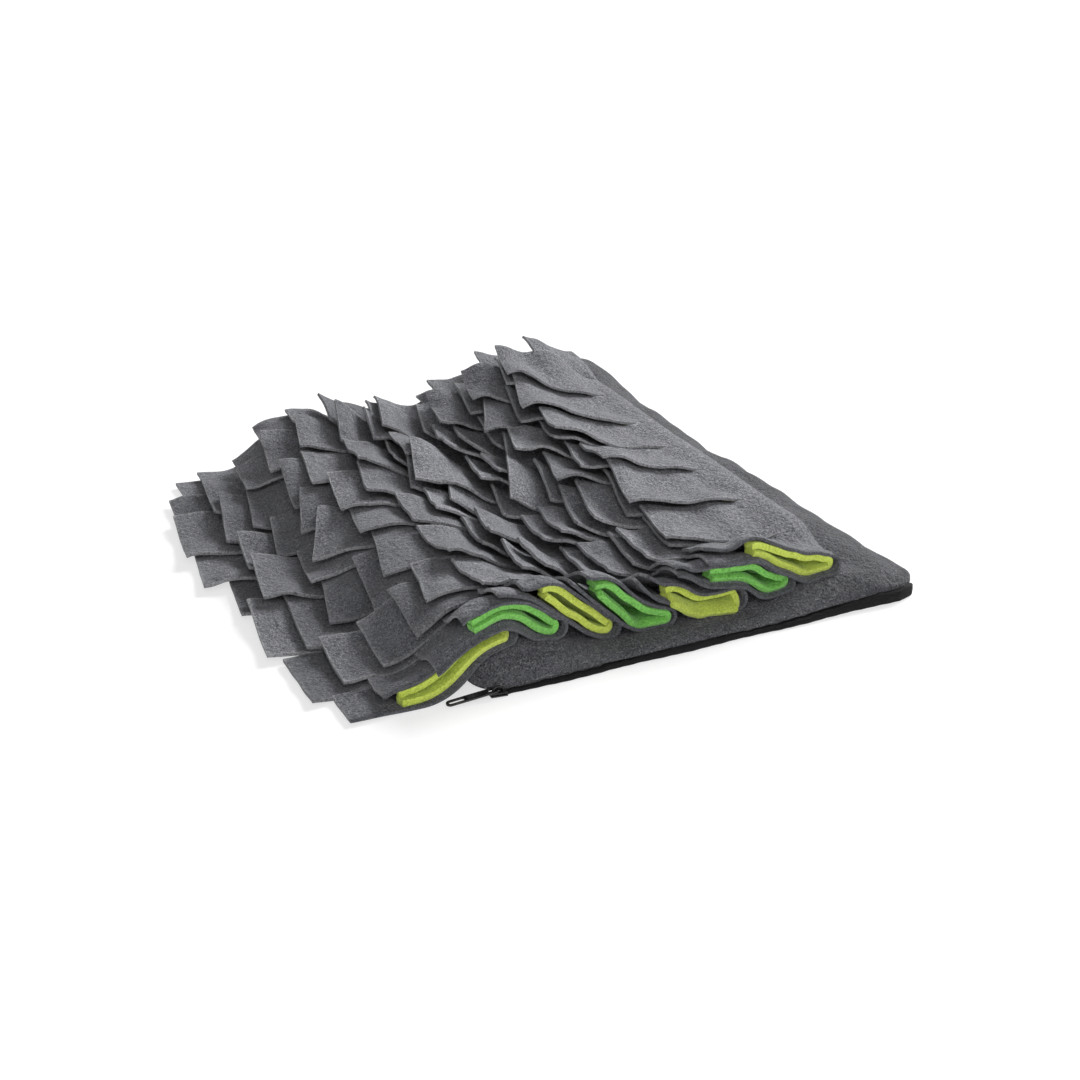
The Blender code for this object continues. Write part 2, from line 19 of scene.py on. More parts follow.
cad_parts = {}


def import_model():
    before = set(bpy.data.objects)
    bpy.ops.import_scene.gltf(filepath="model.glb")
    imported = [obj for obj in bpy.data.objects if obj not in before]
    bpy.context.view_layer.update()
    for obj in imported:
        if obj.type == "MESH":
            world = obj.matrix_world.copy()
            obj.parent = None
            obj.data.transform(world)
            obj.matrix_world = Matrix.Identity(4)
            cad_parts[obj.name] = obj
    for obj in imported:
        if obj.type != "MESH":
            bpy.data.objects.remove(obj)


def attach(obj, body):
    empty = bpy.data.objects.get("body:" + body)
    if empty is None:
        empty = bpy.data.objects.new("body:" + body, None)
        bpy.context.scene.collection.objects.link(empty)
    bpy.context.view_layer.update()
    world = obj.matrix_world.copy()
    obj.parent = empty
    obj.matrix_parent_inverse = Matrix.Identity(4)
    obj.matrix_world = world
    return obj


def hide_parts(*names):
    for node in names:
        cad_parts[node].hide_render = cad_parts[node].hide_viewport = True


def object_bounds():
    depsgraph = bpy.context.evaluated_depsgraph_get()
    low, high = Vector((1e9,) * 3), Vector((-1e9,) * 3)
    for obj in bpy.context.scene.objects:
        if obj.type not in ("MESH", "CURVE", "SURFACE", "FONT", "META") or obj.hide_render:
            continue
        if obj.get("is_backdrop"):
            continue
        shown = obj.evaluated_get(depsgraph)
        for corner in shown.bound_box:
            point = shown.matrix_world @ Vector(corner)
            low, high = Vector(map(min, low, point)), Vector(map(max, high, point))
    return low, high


LOG = logging.getLogger("snuffle_mat")
MM = 0.001
BODY = "root"
Array = np.ndarray
Colour = tuple[float, float, float, float]
Sockets = dict[str | int, object]
WHITE: Colour = (1.0, 1.0, 1.0, 1.0)
SEED = 11


class Slot(Enum):
    """The finishes that the model's table knows."""

    FELT = "felt"
    LIME = "lime_fleece"
    GREEN = "green_fleece"
    TAPE = "zip_tape"
    ENAMEL = "zip_metal"


# ------------------------------------------------------------------------------------------ shading


class Graph:
    """A node tree that is filled node by node."""

    def __init__(self, tree: bpy.types.NodeTree) -> None:
        """Keeps the material's, world's or group's node tree."""
        self.tree = tree

    def add(self, kind: str, sockets: Sockets | None = None, **settings: object) -> bpy.types.Node:
        """Adds a node, sets it up and connects its inputs.

        Args:
            kind: The node's type name, without the ShaderNode in front.
            sockets: What each input gets: a number, a colour, or another node's output.
            **settings: The node's own properties.

        Returns:
            The node.
        """
        node = self.tree.nodes.new(kind if kind.startswith("Node") else "ShaderNode" + kind)
        for name, value in settings.items():
            setattr(node, name, value)
        self.fill(node, sockets or {})
        return node

    def fill(self, node: bpy.types.Node, sockets: Sockets) -> None:
        """Sets or connects a node's inputs.

        Args:
            node: The node.
            sockets: What each input gets: a number, a colour, or another node's output.
        """
        for name, value in sockets.items():
            if isinstance(value, bpy.types.NodeSocket):
                self.tree.links.new(value, node.inputs[name])
            else:
                node.inputs[name].default_value = value

    def mix(self, share: object, low: object, high: object) -> bpy.types.NodeSocket:
        """Mixes two colours by the share of the second. Each of the three is a value or a socket."""
        return self.add("Mix", {0: share, 6: low, 7: high}, data_type="RGBA").outputs[2]

    def math(self, operation: str, first: object, second: object = 0.0,
             clamp: bool = False) -> bpy.types.NodeSocket:
        """Works out one number from two, each a number or a socket, and can keep it from 0 to 1."""
        return self.add("Math", {0: first, 1: second}, operation=operation, use_clamp=clamp).outputs[0]

    def remap(self, value: bpy.types.NodeSocket, low: float, high: float) -> bpy.types.NodeSocket:
        """Stretches a value so that low becomes 0 and high becomes 1, smoothly and no further."""
        sockets = {"Value": value, "From Min": low, "From Max": high}
        return self.add("MapRange", sockets, interpolation_type="SMOOTHSTEP").outputs[0]


def new_group(name: str, inputs: dict[str, tuple[str, object]],
              outputs: dict[str, str]) -> tuple[Graph, dict, dict]:
    """Starts a shader node group with named sockets.

    Args:
        name: The group's name.
        inputs: Each input's socket type and default value, which is None for none.
        outputs: Each output's socket type.

    Returns:
        The graph, the group's inputs by name, and its output node's inputs by name.
    """
    tree = bpy.data.node_groups.new(name, "ShaderNodeTree")
    for label, (kind, default) in inputs.items():
        socket = tree.interface.new_socket(label, in_out="INPUT", socket_type=kind)
        if default is not None:
            socket.default_value = default
    for label, kind in outputs.items():
        tree.interface.new_socket(label, in_out="OUTPUT", socket_type=kind)
    graph = Graph(tree)
    start = graph.add("NodeGroupInput")
    end = graph.add("NodeGroupOutput")
    return graph, {s.name: s for s in start.outputs if s.name}, {s.name: s for s in end.inputs if s.name}


class Effects:
    """The shading effects that more than one finish uses, each a node group that is made once."""

    def __init__(self) -> None:
        """Builds the groups."""
        self.fibres = self._fibres()
        self.weave = self._weave()

    @staticmethod
    def _fibres() -> bpy.types.NodeTree:
        """Builds matted fibres: fine grain, soft lumps, wide clouds, short crossing hairs, and their height.

        Returns:
            The node group.
        """
        graph, given, out = new_group(
            "matted_fibres",
            {
                "Vector": ("NodeSocketVector", None),
                "Grain": ("NodeSocketFloat", 900.0),
                "Hair": ("NodeSocketFloat", 1500.0),
            },
            {label: "NodeSocketFloat" for label in ("Grain", "Lump", "Cloud", "Hairs", "Height")},
        )

        def noise(share: float, detail: float, roughness: float) -> bpy.types.NodeSocket:
            """Adds a noise.

            Args:
                share: Its scale, as a share of the grain's.
                detail: Its detail.
                roughness: Its roughness.

            Returns:
                The noise's socket.
            """
            scale = graph.math("MULTIPLY", given["Grain"], share)
            sockets = {"Vector": given["Vector"], "Scale": scale, "Detail": detail, "Roughness": roughness}
            return graph.add("TexNoise", sockets).outputs[0]

        grain, lump, cloud = noise(1.0, 3.0, 0.65), noise(0.36, 2.0, 0.55), noise(0.055, 2.0, 0.5)
        strands = []
        for turn, stretch in (((0.3, 0.2, 0.5), (1.0, 0.30, 1.0)), ((0.1, 0.5, 2.2), (1.0, 0.34, 1.0)),
                              ((1.2, 0.1, 3.9), (0.30, 1.0, 1.0))):
            placed = graph.add("Mapping", {"Vector": given["Vector"], "Rotation": turn, "Scale": stretch})
            sockets = {"Vector": placed.outputs[0], "Scale": given["Hair"], "Detail": 2.0, "Roughness": 0.6,
                       "Distortion": 0.7}
            strands.append(graph.remap(graph.add("TexNoise", sockets).outputs[0], 0.57, 0.72))
        hairs = graph.math("MAXIMUM", graph.math("MAXIMUM", strands[0], strands[1]), strands[2])
        relief = graph.math("ADD", graph.math("MULTIPLY", lump, 2.2), grain)
        height = graph.math("ADD", graph.math("MULTIPLY", hairs, 0.22), relief)
        found = {"Grain": grain, "Lump": lump, "Cloud": cloud, "Hairs": hairs, "Height": height}
        for label, socket in found.items():
            graph.tree.links.new(socket, out[label])
        return graph.tree

    @staticmethod
    def _weave() -> bpy.types.NodeTree:
        """Builds a plain weave: crossing threads as a height.

        Returns:
            The node group.
        """
        graph, given, out = new_group(
            "plain_weave",
            {"Vector": ("NodeSocketVector", None), "Threads": ("NodeSocketFloat", 1500.0)},
            {"Height": "NodeSocketFloat"},
        )
        sockets = {"Vector": given["Vector"], "Scale": given["Threads"], "Distortion": 0.4}
        warp, weft = (graph.add("TexWave", sockets, wave_type="BANDS", bands_direction=direction).outputs[1]
                      for direction in ("X", "Y"))
        graph.tree.links.new(graph.math("MULTIPLY", warp, weft), out["Height"])
        return graph.tree


@dataclass(frozen=True)
class Finish:
    """A finish that is dressed from one of the shared effects."""

    name: str

    def start(self, effect: bpy.types.NodeTree, **numbers: float) -> tuple[bpy.types.Material, Graph, dict]:
        """Starts the material with an effect that is read in the piece's own coordinates.

        Args:
            effect: The effect's node group.
            **numbers: What the group's inputs get.

        Returns:
            The material, its graph, and the effect's outputs by name.
        """
        made = bpy.data.materials.new(self.name)
        made.use_nodes = True
        graph = Graph(made.node_tree)
        place = graph.add("TexCoord").outputs["Object"]
        node = graph.add("Group", {"Vector": place, **numbers}, node_tree=effect)
        return made, graph, {socket.name: socket for socket in node.outputs}

    @staticmethod
    def end(graph: Graph, colour: object, bump: Sockets, surface: Sockets) -> None:
        """Puts the colour, the bump and the surface's constants on the material's shader.

        Args:
            graph: The material's graph.
            colour: The colour's socket.
            bump: The Bump node's inputs.
            surface: The shader's other inputs.
        """
        normal = graph.add("Bump", bump).outputs[0]
        shader = graph.tree.nodes["Principled BSDF"]
        graph.fill(shader, {"Base Color": colour, "Normal": normal, **surface})


@dataclass(frozen=True)
class ClothFinish(Finish):
    """A matted cloth, such as needle felt or brushed fleece, dressed from its fibres."""

    deep: Colour
    middle: Colour
    light: Colour
    # The colour of the painted highlight along the cut edges.
    cut_edge: Colour
    grain: float
    hair: float
    hair_share: float
    edge_share: float
    pits: float
    bump: float
    depth: float
    sheen: float
    roughness: float

    def build(self, effects: Effects) -> bpy.types.Material:
        """Makes the material.

        Args:
            effects: The shared node groups.

        Returns:
            The material.
        """
        made, graph, fibres = self.start(effects.fibres, Grain=self.grain, Hair=self.hair)
        ground = graph.mix(graph.remap(fibres["Grain"], 0.33, 0.67), self.deep, self.middle)
        hollow = graph.math("SUBTRACT", 0.62, graph.remap(fibres["Lump"], 0.30, 0.62), clamp=True)
        ground = graph.mix(graph.math("MULTIPLY", hollow, self.pits), ground, self.deep)
        cloud = graph.remap(fibres["Cloud"], 0.30, 0.70)
        ground = graph.mix(graph.math("MULTIPLY", cloud, 0.30), ground, self.middle)
        haired = graph.mix(graph.math("MULTIPLY", fibres["Hairs"], self.hair_share), ground, self.light)
        # Painted highlight: the cut edges are painted lighter, in patches, towards the cut_edge colour.
        rim = graph.math("POWER", graph.add("Attribute", attribute_name="cut_edge").outputs["Fac"], 3.0)
        edge_highlight = graph.math("MULTIPLY", rim, graph.remap(fibres["Grain"], 0.25, 0.60))
        colour = graph.mix(graph.math("MULTIPLY", edge_highlight, self.edge_share), haired, self.cut_edge)
        # Painted shade: each mesh gives a share by which its colour is darkened towards the deep one.
        dark = graph.add("Attribute", attribute_name="painted_shade").outputs["Fac"]
        colour = graph.mix(dark, colour, self.deep)
        self.end(graph, colour, {"Strength": self.bump, "Distance": self.depth, "Height": fibres["Height"]},
                 {"Roughness": self.roughness, "Specular IOR Level": 0.15, "Sheen Weight": self.sheen,
                  "Sheen Roughness": 0.55})
        return made


@dataclass(frozen=True)
class TapeFinish(Finish):
    """Black woven zip tape, its raised threads painted a little lighter as a painted highlight."""

    name: str = "woven_tape"
    thread: Colour = (0.003, 0.003, 0.0035, 1.0)
    lit: Colour = (0.014, 0.014, 0.016, 1.0)

    def build(self, effects: Effects) -> bpy.types.Material:
        """Makes the material.

        Args:
            effects: The shared node groups.

        Returns:
            The material.
        """
        made, graph, weave = self.start(effects.weave)
        # Painted highlight: the raised threads get the lighter lit colour.
        self.end(graph, graph.mix(weave["Height"], self.thread, self.lit),
                 {"Strength": 0.8, "Distance": 0.0002, "Height": weave["Height"]},
                 {"Roughness": 0.8, "Specular IOR Level": 0.25})
        return made


@dataclass(frozen=True)
class EnamelFinish(Finish):
    """Black enamel on die-cast metal, a little rubbed and uneven."""

    name: str = "black_enamel"
    paint: Colour = (0.006, 0.006, 0.007, 1.0)
    rubbed: Colour = (0.05, 0.05, 0.052, 1.0)

    def build(self, effects: Effects) -> bpy.types.Material:
        """Makes the material.

        Args:
            effects: The shared node groups.

        Returns:
            The material.
        """
        made, graph, fibres = self.start(effects.fibres, Grain=700.0)
        rub = graph.remap(fibres["Grain"], 0.52, 0.72)
        rough = graph.math("ADD", graph.math("MULTIPLY", rub, 0.2), 0.28)
        self.end(graph, graph.mix(rub, self.paint, self.rubbed),
                 {"Strength": 0.25, "Distance": 0.0001, "Height": fibres["Grain"]},
                 {"Roughness": rough, "Metallic": 0.3, "Coat Weight": 0.3})
        return made


GREY_FELT = ClothFinish(
    name="grey_felt", deep=(0.040, 0.042, 0.050, 1.0), middle=(0.222, 0.227, 0.249, 1.0),
    light=(0.72, 0.72, 0.75, 1.0), cut_edge=(0.60, 0.60, 0.62, 1.0),
    grain=850.0, hair=1300.0, hair_share=0.48, edge_share=0.62, pits=0.8, bump=1.0,
    depth=0.0011, sheen=0.15, roughness=0.95,
)
POUCH_FELT = ClothFinish(
    name="pouch_felt", deep=(0.018, 0.019, 0.023, 1.0), middle=(0.118, 0.120, 0.132, 1.0),
    light=(0.60, 0.60, 0.62, 1.0), cut_edge=(0.20, 0.20, 0.21, 1.0),
    grain=850.0, hair=1250.0, hair_share=0.32, edge_share=0.3, pits=0.6, bump=1.0,
    depth=0.0011, sheen=0.12, roughness=0.95,
)
LIME_FLEECE = ClothFinish(
    name="lime_fleece", deep=(0.33, 0.41, 0.040, 1.0), middle=(0.55, 0.68, 0.105, 1.0),
    light=(0.72, 0.80, 0.20, 1.0), cut_edge=(0.66, 0.76, 0.13, 1.0),
    grain=900.0, hair=1200.0, hair_share=0.22, edge_share=0.4, pits=0.45, bump=0.6,
    depth=0.0009, sheen=0.15, roughness=0.9,
)
GREEN_FLEECE = ClothFinish(
    name="green_fleece", deep=(0.075, 0.27, 0.030, 1.0), middle=(0.20, 0.56, 0.095, 1.0),
    light=(0.36, 0.72, 0.24, 1.0), cut_edge=(0.25, 0.64, 0.15, 1.0),
    grain=900.0, hair=1200.0, hair_share=0.22, edge_share=0.4, pits=0.45, bump=0.6,
    depth=0.0009, sheen=0.15, roughness=0.9,
)


# ------------------------------------------------------------------------------------------ numbers


def smooth(value: Array | float) -> Array | float:
    """Eases a value from 0 to 1, and keeps it there on both sides."""
    kept = np.clip(value, 0.0, 1.0)
    return kept * kept * (3.0 - 2.0 * kept)


def held_up(heights: Array, places: Array, bend: float, slope: float) -> Array:
    """Spreads what holds the cloth up along the first axis, as far as the cloth's bend reaches.

    Every point carries a round bend, which starts along the slope that the cloth has there and runs out into
    the steepest slope on both sides. The cloth lies on the highest of them.

    Args:
        heights: Heights on a grid.
        places: Where the grid's rows lie.
        bend: The tightest bend.
        slope: The steepest slope.

    Returns:
        The raised heights.
    """
    away = (places[:, None] - places[None, :])[:, :, None]
    reach = np.abs(away)
    tilt = np.zeros((1, 1, 1))
    laid = heights
    for _ in range(2):
        start = tilt * np.sign(away)
        limit = bend * (slope + start)
        run = np.minimum(reach, limit)
        carried = start * run - run**2 / (2.0 * bend) - slope * (reach - run)
        laid = (heights[None, :, :] + carried).max(axis=1)
        tilt = np.clip(np.gradient(laid, places, axis=0), -slope, slope)[None, :, :]
    return laid


def bridged(heights: Array, places: Array, bend: float) -> Array:
    """Raises the cloth along the first axis wherever it would have to bend into a hollow too sharply.

    Args:
        heights: Heights on a grid.
        places: Where the grid's rows lie.
        bend: The tightest bend in a hollow.

    Returns:
        The raised heights.
    """
    laid = heights.copy()
    for stride in (8, 4, 2, 1, 1):
        if len(laid) > 2 * stride:
            before = (places[stride:-stride] - places[: -2 * stride])[:, None]
            after = (places[2 * stride :] - places[stride:-stride])[:, None]
            between = (laid[: -2 * stride] * after + laid[2 * stride :] * before) / (before + after)
            laid[stride:-stride] = np.maximum(laid[stride:-stride], between - before * after / (2.0 * bend))
    return laid


def surface_normals(points: Array) -> Array:
    """Gives the upward normals of a grid of points.

    Args:
        points: The points, by row, column and coordinate.

    Returns:
        The unit normals, in the same order.
    """
    normal = np.cross(np.gradient(points, axis=0), np.gradient(points, axis=1))
    normal /= np.maximum(np.linalg.norm(normal, axis=2, keepdims=True), 1e-9)
    return normal * np.where(normal[..., 2:] < 0.0, -1.0, 1.0)


def refined(points: Array, spacing: float) -> Array:
    """Puts more points between those of a grid, in straight lines.

    Args:
        points: The points, by row, column and coordinate.
        spacing: The widest step that is left between two points.

    Returns:
        The finer grid.
    """
    for axis in (0, 1):
        widest = np.linalg.norm(np.diff(points, axis=axis), axis=2).max()
        factor = max(1, math.ceil(widest / spacing))
        count = points.shape[axis]
        at = np.linspace(0.0, count - 1.0, (count - 1) * factor + 1)
        low = np.minimum(at.astype(int), count - 2)
        share = (at - low).reshape((-1, 1, 1) if axis == 0 else (1, -1, 1))
        points = np.take(points, low, axis) * (1.0 - share) + np.take(points, low + 1, axis) * share
    return points


def eased(at: Array, values: Sequence[float]) -> Array:
    """Reads a table of values that are evenly spread from 0 to 1, with a flat step at each of them.

    Args:
        at: Where to read, from 0 to 1.
        values: The values.

    Returns:
        The values there.
    """
    table = np.array(values)
    place = np.clip(at, 0.0, 1.0) * (len(table) - 1)
    low = np.minimum(place.astype(int), len(table) - 2)
    share = smooth(place - low)
    return table[low] * (1.0 - share) + table[low + 1] * share


class Terrain:
    """The heights of everything that has been laid so far, on a square grid."""

    CELL = 1.0
    EMPTY = -500.0
    LEAST_UPRIGHT = 0.35

    def __init__(self, low: tuple[float, float], high: tuple[float, float], level: float) -> None:
        """Starts the grid at one level.

        Args:
            low: Its lowest X and Y.
            high: Its highest X and Y.
            level: The height that it starts from.
        """
        self.low, self.high = low, high
        shape = tuple(int((top - bottom) / self.CELL) + 2 for bottom, top in zip(low, high))
        self.heights = np.full(shape, level)

    def _cell(self, x: Array, y: Array) -> tuple[Array, Array, Array, Array]:
        """Finds the cell of each point and the point's place in it.

        Args:
            x: The points' X.
            y: The points' Y.

        Returns:
            The cell's two indices, and the two shares.
        """
        across = np.clip((x - self.low[0]) / self.CELL, 0.0, self.heights.shape[0] - 1.001)
        along = np.clip((y - self.low[1]) / self.CELL, 0.0, self.heights.shape[1] - 1.001)
        i, j = across.astype(int), along.astype(int)
        return i, j, across - i, along - j

    def read(self, x: Array, y: Array) -> Array:
        """Gives the heights at some points.

        Args:
            x: The points' X.
            y: The points' Y.

        Returns:
            The heights.
        """
        i, j, u, v = self._cell(x, y)
        near = self.heights[i, j] * (1.0 - u) + self.heights[i + 1, j] * u
        away = self.heights[i, j + 1] * (1.0 - u) + self.heights[i + 1, j + 1] * u
        return near * (1.0 - v) + away * v

    def pile(self, points: Array) -> None:
        """Raises the heights to a grid of points, each carried along its slope to the nearest cell's corner.

        Args:
            points: The points, by row, column and coordinate.
        """
        normal = surface_normals(points)
        upright = np.maximum(normal[..., 2], self.LEAST_UPRIGHT)
        i, j, u, v = self._cell(points[..., 0], points[..., 1])
        near_x, near_y = np.rint(u), np.rint(v)
        heights = points[..., 2] - (
            normal[..., 0] / upright * (near_x - u) + normal[..., 1] / upright * (near_y - v)
        ) * self.CELL
        np.maximum.at(self.heights, (i + near_x.astype(int), j + near_y.astype(int)), heights)


# ----------------------------------------------------------------------------------------- the plan


@dataclass(frozen=True)
class Mouth:
    """How the fleece opens at a row's front end.

    Attributes:
        gap: How far its halves stand apart, at even steps from the fold to the tips.
        bump: How far the lower half stands up, at the same steps.
        step_back: How far the upper half ends behind the lower one.
        reach_out: How far both halves reach out past the row's end.
        droop: How far the ends that reach out hang down.
    """

    gap: tuple[float, ...]
    bump: tuple[float, ...]
    step_back: float = 1.0
    reach_out: float = 0.0
    droop: float = 0.0


@dataclass(frozen=True)
class Row:
    """One folded strip of felt with its fleece: where it is sewn, how far it reaches and how it lies.

    Attributes:
        fold_x: X of its fold.
        lower: Length of the lower half's flaps from the fold.
        upper: Length of the upper half's flaps from the fold.
        inner: Length of each half of the fleece from the fold.
        slot: The fleece's slot.
        mouth: How the fleece opens at the front end.
        slope: The steepest slope that the flaps take.
        slit_lower: Where the lower half's slits begin, from the fold.
        slit_upper: Where the upper half's slits begin, from the fold.
        wave: Height of the wave across a flap.
        near: How high the flaps' nearer edges stand.
        lift: How high their tips stand.
        yaw: How much their turns differ, in degrees.
        curl: How far their ends curl, in degrees.
        front_reach: The first flap's length, as a share.
        far_reach: The last flap's length, as a share.
        far_lift: How high the upper half stands at the far end.
        calm: The share of a flap's free length that lies still.
        puff: How loosely the upper half stands over the fold.
        rise: How far the lower half's first flap stands off, at even steps from the fold.
        lead: How far the lower half reaches out in front.
        tuck: How far the upper half ends short in front.
        overlap: How much wider a flap is at its tip, as a share.
        ease: The share of its free length over which a flap departs from lying flat.
        deep_cut: How much shorter the fleece is away from its front end, as a share.
        tone: The painted shade of its lightest flap, more on the left rows that face away from the key light.
        rumple: How crumpled its flaps are.
        in_turn: Whether the flaps lie over each other in order, and not at random.
        swing: How far all its flaps turn the same way, in degrees.
        far_swing: The share of that turn which the last flap has.
        front_bend: The first flap's tightest bend over what holds it up.
        front_hollow: Its tightest bend in a hollow.
        front_slope: Its steepest slope.
        taper: How much thinner the fleece is at its tips, as a share.
    """

    fold_x: float
    lower: float
    upper: float
    inner: float
    slot: Slot
    mouth: Mouth
    slope: float = 1.1
    slit_lower: float = 12.0
    slit_upper: float = 10.0
    wave: float = 0.4
    near: float = 3.6
    lift: float = 1.6
    yaw: float = 5.5
    curl: float = 6.0
    front_reach: float = 0.86
    far_reach: float = 0.9
    far_lift: float = 0.0
    calm: float = 0.42
    puff: float = 0.0
    rise: tuple[float, ...] = (0.0, 0.0)
    lead: float = 0.0
    tuck: float = 0.0
    overlap: float = 0.07
    ease: float = 0.4
    deep_cut: float = 0.6
    tone: float = 0.0
    rumple: float = 1.4
    in_turn: bool = False
    swing: float = 15.0
    far_swing: float = 1.0
    front_bend: float = 9.0
    front_hollow: float = 14.0
    front_slope: float = 1.4
    taper: float = 0.15


ROWS = (
    Row(fold_x=-119.0, lower=112.0, upper=90.0, inner=63.0, slot=Slot.LIME, slope=1.4, slit_lower=14.0,
        slit_upper=12.0, wave=0.3, near=3.0, lift=2.2, yaw=3.4, curl=2.0, swing=9.0, far_swing=0.3, tuck=5.0,
        overlap=0.24, tone=0.21, taper=0.45, front_bend=14.0, front_hollow=36.0, front_slope=0.95,
        mouth=Mouth(gap=(0.3, 0.3, 1.0, 1.6, 1.6, 1.2), bump=(0.0, 0.0, 0.3, 0.0, 0.5, 0.0), step_back=3.0)),
    Row(fold_x=-89.0, lower=96.0, upper=76.0, inner=50.0, slot=Slot.GREEN, slope=0.8, slit_upper=12.0,
        wave=0.3, near=3.4, lift=2.2, curl=3.0, swing=13.0, far_swing=0.3, lead=1.0, tone=0.24, far_lift=5.0,
        mouth=Mouth(gap=(1.0, 2.0, 1.2, 0.6, 0.5, 0.5), bump=(0.0, 0.5, 1.5, 1.5, 1.0, 1.0))),
    Row(fold_x=-55.0, lower=95.0, upper=71.0, inner=43.0, slot=Slot.LIME, slope=0.9, near=4.0, lift=2.4,
        yaw=6.0, curl=5.0, rumple=1.9, far_swing=0.6, lead=1.5, tone=0.2, far_lift=8.0, far_reach=0.85,
        mouth=Mouth(gap=(0.3, 1.0, 0.2, 0.6, 0.2, 0.1), bump=(0.0, 0.0, 1.2, 0.0, 0.8, 0.0))),
    Row(fold_x=-20.0, lower=80.0, upper=71.0, inner=46.0, slot=Slot.GREEN, rumple=2.3, lead=2.0,
        far_reach=0.75,
        mouth=Mouth(gap=(0.5, 2.4, 3.0, 0.4, 0.8, 0.2), bump=(0.0, 0.6, 0.0, 1.6, 0.3, 0.0), reach_out=2.0,
                    droop=2.5)),
    Row(fold_x=24.0, lower=79.0, upper=71.0, inner=42.0, slot=Slot.LIME, wave=0.5, near=3.8, yaw=6.0,
        curl=7.0, rumple=2.3, rise=(0.0, 0.0, 1.0, 2.0, 2.0, 2.0), lead=3.0, far_reach=0.7, far_lift=3.0,
        mouth=Mouth(gap=(3.0, 1.6, 1.0, 0.8, 0.5, 0.3), bump=(0.0, 1.0, 2.0, 1.0, 0.0, 0.0), step_back=5.5,
                    reach_out=4.5, droop=4.0)),
    Row(fold_x=57.0, lower=80.0, upper=76.0, inner=49.0, slot=Slot.GREEN, slit_upper=12.0, rumple=2.0,
        rise=(0.0, 1.0, 2.0, 4.0, 4.0, 3.0), lead=4.0, front_reach=1.0, far_reach=0.6, far_lift=5.0,
        mouth=Mouth(gap=(0.6, 3.4, 4.0, 1.2, 0.6, 0.3), bump=(0.0, 0.2, 0.8, 0.2, 0.6, 0.2), reach_out=1.5,
                    droop=1.5)),
    Row(fold_x=87.0, lower=84.0, upper=82.0, inner=52.0, slot=Slot.LIME, slit_upper=14.0, wave=0.5, near=4.8,
        lift=1.4, yaw=4.0, curl=3.0, in_turn=True, calm=0.1, ease=0.9, puff=2.0, deep_cut=0.75, lead=4.0,
        overlap=0.12, front_reach=1.0, far_reach=0.56, far_lift=10.0,
        mouth=Mouth(gap=(1.2, 4.6, 4.0, 2.4, 0.6, 0.3), bump=(0.0, 0.4, 0.2, 0.4, 0.0, 0.0), step_back=0.5,
                    reach_out=1.0, droop=1.0)),
)


@dataclass(frozen=True)
class Flap:
    """One flap of every half: its width, and its length and its turn as shares of the row's."""

    width: float
    reach: float
    swing: float


FLAPS = (
    Flap(28.0, 1.0, 0.1), Flap(43.0, 0.98, 0.5), Flap(51.0, 1.0, 0.85), Flap(44.0, 1.0, 1.0),
    Flap(44.0, 1.02, 1.1), Flap(52.0, 1.0, 1.0), Flap(41.0, 0.96, 0.9), Flap(40.0, 1.0, 0.8),
)


@dataclass(frozen=True)
class Bounds:
    """Where the rows begin and end, how the hanging ones spread forward, and what the terrain covers."""

    low: tuple[float, float] = (-260.0, -205.0)
    high: tuple[float, float] = (150.0, 195.0)
    floor: float = 0.05
    front: float = -165.0
    far: float = 165.0
    shift: float = 12.0
    shift_start: float = -70.0
    shift_run: float = 90.0

    def spread(self, x: Array, y: Array) -> Array:
        """Gives the points' Y, moved forward where the cloth hangs over the left side."""
        pull = self.shift * smooth((self.shift_start - x) / self.shift_run)
        return y - pull * (self.far - y) / (self.far - self.front)


@dataclass(frozen=True)
class Cloth:
    """How a cloth lies: its thickness, the rounding of its cut edges, its bends and the gap under it."""

    thickness: float
    rounding: float
    gap: float = 0.1
    bend: float = 9.0
    bend_across: float = 9.0
    slope_across: float = 0.9
    hollow: float = 14.0
    hollow_across: float = 14.0


FRONT_FELT = Cloth(thickness=1.8, rounding=0.3)
FELT = replace(FRONT_FELT, bend=15.0, bend_across=42.0, slope_across=0.7, hollow=26.0, hollow_across=80.0)
FLEECE = Cloth(thickness=3.7, rounding=1.3)
LIMITS = Bounds()


@dataclass(frozen=True)
class Habit:
    """How one patch departs from lying flat.

    Attributes:
        length: Its length along the cloth.
        slit: Where its slits begin, from the fold.
        yaw: How far it turns, in radians.
        widen: How much wider its tip is, as a share.
        lift: How high its tip stands.
        near: How high its nearer edge stands.
        away: How high its farther edge stands.
        wave: Height of the wave across it.
        count: How many such waves there are.
        phase: Where the wave starts, in turns.
        twist: How far it shifts towards the tip, in turns.
        curl: How far its end curls, in degrees.
        curl_run: The length that curls.
        calm: The share of its free length that lies still.
        ease: The share over which it then departs from lying flat.
        crumple: Small waves: the height of each, its wave numbers in X and Y, and its phase.
    """

    length: float
    slit: float
    yaw: float = 0.0
    widen: float = 0.0
    lift: float = 0.0
    near: float = 0.0
    away: float = 0.0
    wave: float = 0.0
    count: float = 1.0
    phase: float = 0.0
    twist: float = 0.0
    curl: float = 0.0
    curl_run: float = 22.0
    calm: float = 0.42
    ease: float = 0.4
    crumple: tuple[tuple[float, float, float, float], ...] = ()


